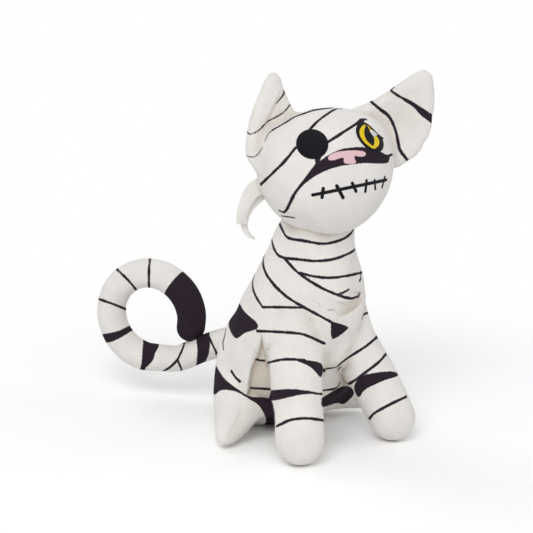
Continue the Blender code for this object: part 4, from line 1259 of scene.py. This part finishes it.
def round_back(tree, middle, a, b, limits, view):
    """A hand-drawn line over the far side of a form, from one point on it to another."""
    first, last = a - middle, b - middle
    axis = first.cross(last).normalized()
    angle = first.angle(last)
    if (Matrix.Rotation(angle / 2, 3, axis) @ first).dot(view.back) > 0:
        angle -= math.tau
    line = []
    for k in range(BACK_STEPS + 1):
        way = (Matrix.Rotation(angle * k / BACK_STEPS, 3, axis) @ first).normalized()
        sway = noise.noise(way * BACK_WAVES + a * BACK_VARIETY) * BACK_SWAY
        sway *= math.sin(math.pi * k / BACK_STEPS)
        hit = tree.ray_cast(middle, (way + axis * sway).normalized())[0]
        if hit is not None and tree.find_nearest(hit)[1].dot(view.back) < limits[1]:
            line.append(hit)
    return line


def inked(far, points, ways, line, width, allowed):
    """Takes one line into a cover's distances to the nearest print, where it is allowed.

    Its width is one size, or the sizes at its two ends.
    """
    if len(line) < 2:
        return
    path = np.array([list(p) for p in line])
    starts, ends = np.broadcast_to(width, 2) + INK_SPREAD
    reach = max(starts, ends) / 2 + INK_REACH + DIP
    close = np.all((points > path.min(0) - reach) & (points < path.max(0) + reach), axis=1)
    index = np.nonzero(close & allowed)[0]
    if len(index) == 0:
        return
    gap, along = near_line(points[index], line, ways[index])
    short = np.sin(along / UNEVEN_SHORT + path[0, 0] * UNEVEN_START)
    uneven = 1 + UNEVEN * short * np.sin(along / UNEVEN_LONG)
    drawn_width = starts + (ends - starts) * along / max(along.max(), MM)
    far[index] = np.minimum(far[index], gap - drawn_width / 2 * uneven)


def softened(outline):
    """A closed outline with soft corners."""
    return smooth([Vector(p) for p in [*outline, outline[0]]], 4 * len(outline))[:-1]


def inside_gap(pixels, outline):
    """Distance from a closed outline, below zero inside it."""
    corners = np.array(outline, float)
    gap = np.full(len(pixels), HUGE)
    inside = np.zeros(len(pixels), bool)
    for a, b in zip(corners, np.roll(corners, -1, axis=0)):
        way = b - a
        t = np.clip((pixels - a) @ way / (way @ way), 0, 1)
        gap = np.minimum(gap, np.linalg.norm(pixels - a - t[:, None] * way, axis=1))
        crosses = (a[1] > pixels[:, 1]) != (b[1] > pixels[:, 1])
        edge = a[0] + (pixels[:, 1] - a[1]) / ((b[1] - a[1]) or TINY) * way[0]
        inside ^= crosses & (pixels[:, 0] < edge)
    return np.where(inside, -gap, gap)


def patched(far, points, ways, outline, view, through=False):
    """Takes one solid patch into a cover's distances, facing the camera or right through."""
    index = np.nonzero(through | (ways @ np.array(view.back) > PATCH_LIMIT))[0]
    gap = inside_gap(view.pixels(points[index]), softened(outline)) * view.pixel_size
    far[index] = np.minimum(far[index], gap)


def torso_middle(level):
    return Vector((0, np.interp(level, TORSO_LEVELS, TORSO_MIDDLES), level))


def head_middle(level):
    """The head is a ball, so its lines run round one point, whatever their level."""
    return HEAD_CENTRE


def lines_on(tree, front, back, middle_at, behind, view):
    """The lines on a skin, each with its width and limits: those seen, then those behind.

    Those behind run round a middle that depends on their level.
    """
    lines = []
    for width, pixels in front.values():
        lines += [(run, width, FRONT) for run in drawn(tree, pixels, view)]
    for width, start, end in back:
        a, b = edge_hit(tree, start, end, view), edge_hit(tree, end, start, view)
        run = round_back(tree, middle_at((a.z + b.z) / 2), a, b, behind, view)
        lines.append((run, width, behind))
    return lines


def print_on(obj, ways, lines, patches, view, through=False):
    """Prints lines and patches on a cover."""
    points = places(obj)
    far = np.full(len(points), INK_REACH)
    facing = ways @ np.array(view.back)
    for line, width, (low, high) in lines:
        inked(far, points, ways, line, width, (facing > low) & (facing < high))
    for outline in patches:
        patched(far, points, ways, outline, view, through)
    kept_as(obj, "ink", np.clip(far, -INK_REACH, INK_REACH))
    kept_as(obj, "nose", np.full(len(far), INK_REACH))


# Embroidery


def ellipse(centre, halves, tilt):
    turn = math.radians(tilt)
    outline = []
    for k in range(ELLIPSE_POINTS):
        angle = math.tau * k / ELLIPSE_POINTS
        across, down = halves[0] * math.cos(angle), halves[1] * math.sin(angle)
        outline.append((
            centre[0] + across * math.cos(turn) - down * math.sin(turn),
            centre[1] + across * math.sin(turn) + down * math.cos(turn),
        ))
    return outline


def badge(name, outline, stitch_way, rim, raised, tree, view):
    """A raised patch of satin stitch inside an outline of pixels.

    Its rim lies this far above the cloth, on the stitching below it.
    """
    obj = ball(name, 64, 32)
    corners = np.array(outline, float)
    centre = corners.mean(axis=0)
    points = places(obj)
    out = np.linalg.norm(points[:, :2], axis=1)
    ways = points[:, :2] / np.maximum(out, TINY)[:, None]
    reach = np.full(len(points), HUGE)
    for a, b in zip(corners - centre, np.roll(corners, -1, axis=0) - centre):
        side = b - a
        cross = ways[:, 0] * side[1] - ways[:, 1] * side[0]
        cross = np.where(np.abs(cross) < TINY, TINY, cross)
        far = (a[0] * side[1] - a[1] * side[0]) / cross
        share = (a[0] * ways[:, 1] - a[1] * ways[:, 0]) / cross
        good = (far > 0) & (share > -1e-6) & (share < 1 + 1e-6)
        reach[good] = np.minimum(reach[good], far[good])
    pixels = centre + ways * (out * reach)[:, None]
    moved = []
    for (x, y), share, top in zip(pixels, out, points[:, 2]):
        ray = view.ray(x, y)
        hit, way, _, _ = tree.ray_cast(view.place, ray)
        crown = 1 - share**BADGE_FLATNESS
        lift = rim + (raised - rim) * crown if top > 0 else rim - (rim + THREAD_SUNK) * crown
        moved.append(hit - ray * (lift / max(-ray.dot(way), STEEPEST)))
    place_at(obj, moved)
    turn = math.radians(stitch_way)
    along = pixels @ np.array([-math.sin(turn), math.cos(turn)])
    kept_as(obj, "along", along * view.pixel_size)
    outwards(obj, merged=True)
    return obj


def strand(name, line, tree, half_width, height):
    """One row of satin stitch along a line on the cloth."""
    ways = [tree.find_nearest(p)[1] for p in line]
    return tube(name, line, half_width, height, ways, ROW_AROUND, ROW_ALONG)


def ribbon(name, path, widths):
    """A limp strip of the same plush, whose width lies in the plane of its middle line."""
    bpy.ops.object.select_all(action="DESELECT")
    bpy.ops.mesh.primitive_grid_add(
        x_subdivisions=RIBBON_STEPS, y_subdivisions=RIBBON_COLUMNS, size=2
    )
    obj = bpy.context.active_object
    obj.name = obj.data.name = name
    middle, wide = smooth(path, RIBBON_STEPS + 1), smooth(widths, RIBBON_STEPS + 1)
    placed = []
    for along, across, _ in places(obj):
        k = round((along + 1) / 2 * RIBBON_STEPS)
        way = (middle[min(k + 1, RIBBON_STEPS)] - middle[max(k - 1, 0)]).normalized()
        side = way.cross(Vector((0, 1, 0))).normalized()
        share = k / RIBBON_STEPS
        ruffle = RUFFLE * share * math.sin(RUFFLE_ALONG * share + RUFFLE_ACROSS * across)
        cupped = CUP * share * (across * across - CUP_LEVEL)
        aside = side * across * wide[k] / 2
        placed.append(HEAD_AXES @ (middle[k] + aside + Vector((0, ruffle + cupped, 0))))
    place_at(obj, placed)
    applied(obj, "SOLIDIFY", thickness=STRIP_THICKNESS, offset=0)
    applied(obj, "BEVEL", width=STRIP_EDGE, segments=2)
    for attribute in ("ink", "nose"):
        kept_as(obj, attribute, np.full(len(obj.data.vertices), INK_REACH))
    kept_as(obj, "fold_shade", np.zeros(len(obj.data.vertices)))
    return obj


# Studio


def looked_at(tree):
    """1 on rays from the camera and on reflections and refractions, which show the backdrop."""
    path = add_node(tree, "ShaderNodeLightPath")
    either = add_node(tree, "ShaderNodeMath", {"operation": "MAXIMUM"}, {
        0: path.outputs["Is Camera Ray"], 1: path.outputs["Is Glossy Ray"],
    })
    return add_node(tree, "ShaderNodeMath", {"operation": "MAXIMUM"}, {
        0: either.outputs[0], 1: path.outputs["Is Transmission Ray"],
    }).outputs[0]


def paper(tint):
    """Matt seamless backdrop paper, lit only as far as the white of the photograph."""
    made, tree = new_material("seamless_paper")
    place = add_node(tree, "ShaderNodeTexCoord").outputs["Object"]
    fibre = add_node(tree, "ShaderNodeTexNoise", inputs={
        "Vector": place, "Scale": 1 / (2 * MM), "Detail": 3,
    })
    shade = add_node(tree, "ShaderNodeMapRange", inputs={
        "Value": fibre.outputs["Fac"], "To Min": 0.985, "To Max": 1.0,
    })
    tinted = add_node(tree, "ShaderNodeVectorMath", {"operation": "SCALE"}, {
        0: tint, "Scale": shade.outputs[0],
    })
    matt = add_node(tree, "ShaderNodeBsdfDiffuse", inputs={"Color": tinted.outputs[0]})
    # A photographer's white: the lit paper reads as white, and runs out into the backdrop
    exposed = add_node(tree, "ShaderNodeVectorMath", {"operation": "SCALE"}, {
        0: tinted.outputs[0], "Scale": PAPER_EXPOSURE,
    })
    lit = add_node(tree, "ShaderNodeBsdfDiffuse", inputs={"Color": exposed.outputs[0]})
    white = add_node(tree, "ShaderNodeEmission", inputs={"Color": WHITE, "Strength": 1})
    off = add_node(tree, "ShaderNodeVectorMath", {"operation": "LENGTH"}, {0: place})
    fade = add_node(tree, "ShaderNodeMapRange", {"interpolation_type": "SMOOTHSTEP"}, {
        "Value": off.outputs["Value"], "From Min": PAPER_FADE[0], "From Max": PAPER_FADE[1],
    })
    both = add_node(tree, "ShaderNodeMixShader", inputs={
        0: fade.outputs[0], 1: lit.outputs[0], 2: white.outputs[0],
    })
    shown = add_node(tree, "ShaderNodeMixShader", inputs={
        0: looked_at(tree), 1: matt.outputs[0], 2: both.outputs[0],
    })
    add_node(tree, "ShaderNodeOutputMaterial", inputs={"Surface": shown.outputs[0]})
    return made


def backdrop():
    """Even soft light from all round, and plain white where the camera sees it."""
    world = bpy.data.worlds.new("white_backdrop")
    bpy.context.scene.world = world
    world.use_nodes = True
    tree = world.node_tree
    tree.nodes.clear()
    soft = add_node(tree, "ShaderNodeBackground", inputs={"Color": WHITE, "Strength": WORLD_LIGHT})
    white = add_node(tree, "ShaderNodeBackground", inputs={"Color": WHITE, "Strength": 1})
    shown = add_node(tree, "ShaderNodeMixShader", inputs={
        0: looked_at(tree), 1: soft.outputs[0], 2: white.outputs[0],
    })
    add_node(tree, "ShaderNodeOutputWorld", inputs={"Surface": shown.outputs[0]})


# Operators


class MUMMYCAT_OT_body(bpy.types.Operator):
    """Torso with its haunches, and the two front legs, in one print"""

    bl_idname = "mummycat.body"
    bl_label = "Torso and Front Legs"

    def execute(self, context):
        plush, view = settings("plush"), PhotoView()
        legs = {
            side: [f"front_leg_{part}_{side}" for part in ("outer", "inner", "stuffing")]
            for side in SIDES
        }
        whole = from_nodes("whole_body", [*TORSO_NODES, *legs["left"], *legs["right"]])
        room = surroundings()
        first_skin(whole, plush.body_voxel, BODY_ROUNDS)
        stuffed(whole)
        # Painted shade in the creases, hollows and shut-in places of the whole skin
        kept_as(whole, "fold_shade", painted_fold_shade(whole, room))
        coarse = surface(whole)
        pulled(whole, BODY_PULLS, coarse, view)
        fine(whole)
        evened(whole, BODY_LAST_ROUNDS)
        on_the_floor(whole)
        pressed_in(whole, BELLY, BELLY_DEPTH, view)
        fold_shades = attribute_of(whole, "fold_shade")
        tree = surface(whole)
        lines = lines_on(tree, BODY_LINES, BODY_BACK_LINES, torso_middle, BEHIND_BODY, view)
        cloth = printed_plush()
        body = from_nodes("body_cover", TORSO_NODES)
        covers = {"body": body}
        for side, nodes in legs.items():
            covers[side] = from_nodes(f"front_leg_cover_{side}", nodes)
        for name, cover in covers.items():
            voxel = plush.body_voxel if cover is body else plush.leg_voxel
            first_skin(cover, voxel, BODY_ROUNDS)
            stuffed(cover)
            # Painted shade in each cover's own creases and shut-in places
            kept_as(cover, "fold_shade", painted_fold_shade(cover, room))
            if cover is body:
                pulled(cover, BODY_PULLS + TORSO_PULLS, coarse, view)
            fine(cover)
            evened(cover, BODY_LAST_ROUNDS)
            on_the_floor(cover)
            if cover is body:
                pressed_in(cover, BELLY_BEHIND, BELLY_DEPTH, view)
        trees = {name: surface(cover) for name, cover in covers.items()}
        for name, cover in covers.items():
            others = [trees["body"]] if name in SIDES else [trees["left"], trees["right"]]
            ways = laid_on(cover, whole, tree, fold_shades, LEG_LIFT if name in SIDES else 0, others)
            if cover is body:
                for tuck in BODY_TUCKS:
                    tucked(cover, ways, *tuck, view)
            if name != "right":
                tucked(cover, ways, *SHOULDER_TUCK, view)
            on_the_floor(cover)
            print_on(cover, ways, lines, BODY_PATCHES, view)
            dressed(cover, cloth, legs.get(name, TORSO_NODES))
        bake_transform(body)
        for side, sign in SIDES.items():
            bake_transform(covers[side])
        bpy.data.objects.remove(whole)
        return {"FINISHED"}


class MUMMYCAT_OT_head(bpy.types.Operator):
    """Head and ears, cut in one cloth"""

    bl_idname = "mummycat.head"
    bl_label = "Head and Ears"

    def execute(self, context):
        plush, view = settings("plush"), PhotoView()
        head = joined([hull_of("head_cover", HEAD_BALL_NODES), from_nodes("ears", EAR_NODES)])
        first_skin(head, plush.head_voxel, HEAD_ROUNDS)
        stuffed(head)
        # Painted shade in the head's creases, hollows and shut-in places
        kept_as(head, "fold_shade", painted_fold_shade(head, surroundings()))
        pulled(head, HEAD_PULLS, surface(head), view)
        fine(head)
        evened(head, HEAD_LAST_ROUNDS)
        tucked(head, normals(head), *EAR_TUCK, view)
        tree = surface(head)
        lines = lines_on(tree, HEAD_LINES, HEAD_BACK_LINES, head_middle, BEHIND_HEAD, view)
        points, ways = places(head), normals(head)
        print_on(head, ways, lines, [MUZZLE, CHEEK_WEDGE, BROW_WEDGE], view)
        far = np.full(len(points), INK_REACH)
        patched(far, points, ways, NOSE, view)
        set_attribute(head, "nose", np.clip(far, -INK_REACH, INK_REACH))
        dressed(head, printed_plush(), [*HEAD_BALL_NODES, *EAR_NODES])
        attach(head, "head")
        return {"FINISHED"}


class MUMMYCAT_OT_tail(bpy.types.Operator):
    """Curled tail with a black tip"""

    bl_idname = "mummycat.tail"
    bl_label = "Tail"

    def execute(self, context):
        view = PhotoView()
        line = tail_line(TAIL_POINTS)
        out = (line[1] - line[0]).normalized()
        line = [line[0] - out * TAIL_SUNK, *line]
        radii = [TAIL_RADII[0], *smooth(TAIL_RADII, TAIL_POINTS)]
        across = Vector((math.cos(TAIL_HEADING), math.sin(TAIL_HEADING), 0))
        ways = [across] * len(line)
        tail = tube("tail_plush", line, radii, radii, ways, TAIL_AROUND, TAIL_ALONG)
        lumpy(tail, TAIL_LUMP_HEIGHT, TAIL_LUMP_WIDTH, TAIL_LUMP_SEED)
        tree = surface(tail)
        lines = []
        for width, pixels in TAIL_LINES:
            near = [point for run in drawn(tree, pixels, view) for point in run]
            far = [point for run in drawn(tree, pixels, view, True) for point in run]
            lines.append(([*near, *reversed(far), near[0]], width, ALL_ROUND))
        print_on(tail, normals(tail), lines, TAIL_PATCHES, view, True)
        along, ink = attribute_of(tail, "along"), attribute_of(tail, "ink")
        edge = view.hit(tree, *[sum(side) / 2 for side in zip(*TAIL_TIP_EDGE)])
        nearest = np.argmin(np.linalg.norm(places(tail) - np.array(edge), axis=1))
        tip = np.clip(along[nearest] - along, -INK_REACH, INK_REACH)
        set_attribute(tail, "ink", np.minimum(ink, tip))
        kept_as(tail, "fold_shade", np.zeros(len(along)))
        dressed(tail, printed_plush(), TAIL_NODES)
        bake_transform(tail)
        return {"FINISHED"}


class MUMMYCAT_OT_eyes(bpy.types.Operator):
    """Embroidered eye patch, and the eye in its layers of satin stitch"""

    bl_idname = "mummycat.eyes"
    bl_label = "Eyes"

    def execute(self, context):
        thread, view = settings("thread"), PhotoView()
        tree = surface(bpy.data.objects["head_cover"])
        black = satin_thread("black_satin_stitch", thread.black)
        yellow = satin_thread("yellow_satin_stitch", thread.yellow)
        white = satin_thread("white_satin_stitch", thread.white)
        layers = [
            ("eye_patch", ellipse(*PATCH), 30, RIM, PATCH_TOP, black, "thread_black"),
            ("eye_outline", EYE, 60, RIM, OUTLINE_TOP, black, "thread_black"),
            ("eye_iris", IRIS, 60, OUTLINE_TOP, IRIS_TOP, yellow, "thread_yellow"),
            ("eye_pupil", PUPIL, 60, IRIS_TOP, PUPIL_TOP, black, "thread_black"),
            ("eye_glint", GLINT, 20, PUPIL_TOP, GLINT_TOP, white, "thread_white"),
        ]
        for node, outline, way, rim, raised, finish, slot in layers:
            made = badge(node + "_stitching", outline, way, rim, raised, tree, view)
            dressed(made, finish, [node])
            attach(made, "head")
        return {"FINISHED"}


class MUMMYCAT_OT_mouth(bpy.types.Operator):
    """Embroidered mouth line with its cross stitches"""

    bl_idname = "mummycat.mouth"
    bl_label = "Mouth"

    def execute(self, context):
        view = PhotoView()
        tree = surface(bpy.data.objects["head_cover"])
        rows = []
        for width, pixels in MOUTH_LINES:
            line = drawn(tree, pixels, view)[0]
            rows.append(strand("mouth_row", line, tree, width * view.pixel_size / 2, MOUTH_TOP))
        mouth = joined(rows)
        mouth.name = mouth.data.name = "mouth_embroidery"
        thread = satin_thread("black_satin_stitch", settings("thread").black)
        dressed(mouth, thread, ["mouth_stitching"])
        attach(mouth, "head")
        return {"FINISHED"}


class MUMMYCAT_OT_stitches(bpy.types.Operator):
    """Hand stitches that close the back seam"""

    bl_idname = "mummycat.stitches"
    bl_label = "Closing Stitches"

    def execute(self, context):
        tree = surface(bpy.data.objects["body_cover"])
        rows = []
        for k in range(STITCHES):
            level = STITCH_LEVEL + STITCH_SPAN * (k / (STITCHES - 1) - 0.5)
            line = []
            for across in np.linspace(-1, 1, STITCH_POINTS):
                start = Vector((across * STITCH_HALF, STITCH_FROM, level + across * STITCH_SLANT))
                line.append(tree.ray_cast(start, Vector((0, -1, 0)))[0])
            rows.append(strand("stitch", line, tree, STITCH_WIDTH, STITCH_TOP))
        stitches = joined(rows)
        stitches.name = stitches.data.name = "closing_stitch_threads"
        thread = satin_thread("white_sewing_thread", settings("thread").white)
        dressed(stitches, thread, ["closing_stitches"])
        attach(stitches, "body")
        return {"FINISHED"}


class MUMMYCAT_OT_strips(bpy.types.Operator):
    """Two loose bandage ends behind the right cheek"""

    bl_idname = "mummycat.strips"
    bl_label = "Bandage Ends"

    def execute(self, context):
        for name, path, widths in STRIPS:
            strip = ribbon(f"{name}_bandage_end", path, widths)
            dressed(strip, printed_plush(), [f"bandage_strip_{name}"])
            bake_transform(strip)
        return {"FINISHED"}


class MUMMYCAT_OT_studio(bpy.types.Operator):
    """Camera, floor and lights"""

    bl_idname = "mummycat.studio"
    bl_label = "Studio"

    def execute(self, context):
        scene, studio, view = context.scene, settings("studio"), PhotoView()
        camera = bpy.data.objects.new("photo_camera", bpy.data.cameras.new("photo_camera"))
        scene.collection.objects.link(camera)
        camera.data.lens = studio.lens
        camera.data.sensor_width = SENSOR_WIDTH
        camera.location = view.place
        camera.rotation_euler = Matrix((view.right, view.up, view.back)).transposed().to_euler()
        scene.camera = camera
        bpy.ops.object.select_all(action="DESELECT")
        bpy.ops.mesh.primitive_plane_add(size=PAPER_SIZE, location=(0, 0, -PAPER_DROP))
        floor = context.active_object
        floor.name = "paper_floor"
        floor.data.materials.append(paper(studio.floor))
        for name, place, size_of, watts in LAMPS:
            lamp = bpy.data.objects.new(name, bpy.data.lights.new(name, "AREA"))
            scene.collection.objects.link(lamp)
            lamp.data.energy = watts
            lamp.data.size = size_of
            lamp.location = Vector(place)
            lamp.rotation_euler = (Vector(place) - CAMERA_AIM).to_track_quat("Z", "Y").to_euler()
        backdrop()
        scene.view_settings.view_transform = "Standard"
        return {"FINISHED"}


class MUMMYCAT_PT_panel(bpy.types.Panel):
    """The pieces of the cat, in the order in which they are made"""

    bl_idname = "MUMMYCAT_PT_panel"
    bl_label = "Stuffed Mummy Cat"
    bl_space_type = "VIEW_3D"
    bl_region_type = "UI"
    bl_category = "Mummy Cat"

    def draw(self, context):
        layout = self.layout
        for name, group in GROUPS.items():
            box = layout.box()
            box.label(text=name.title())
            for field in group.__annotations__:
                box.prop(settings(name), field)
        for step in STEPS:
            layout.operator(step.bl_idname)


GROUPS = {"plush": PlushSettings, "thread": ThreadSettings, "studio": StudioSettings}
STEPS = [
    MUMMYCAT_OT_studio, MUMMYCAT_OT_body, MUMMYCAT_OT_head, MUMMYCAT_OT_tail, MUMMYCAT_OT_eyes,
    MUMMYCAT_OT_mouth, MUMMYCAT_OT_stitches, MUMMYCAT_OT_strips,
]


def register():
    for kind in [*GROUPS.values(), *STEPS, MUMMYCAT_PT_panel]:
        bpy.utils.register_class(kind)
    for name, group in GROUPS.items():
        setattr(bpy.types.Scene, "mummy_cat_" + name, bpy.props.PointerProperty(type=group))


def unregister():
    for name in GROUPS:
        delattr(bpy.types.Scene, "mummy_cat_" + name)
    for kind in [MUMMYCAT_PT_panel, *STEPS, *GROUPS.values()]:
        bpy.utils.unregister_class(kind)


def main():
    register()
    for step in STEPS:
        group, name = step.bl_idname.split(".")
        getattr(getattr(bpy.ops, group), name)()


if __name__ == "__main__":
    main()
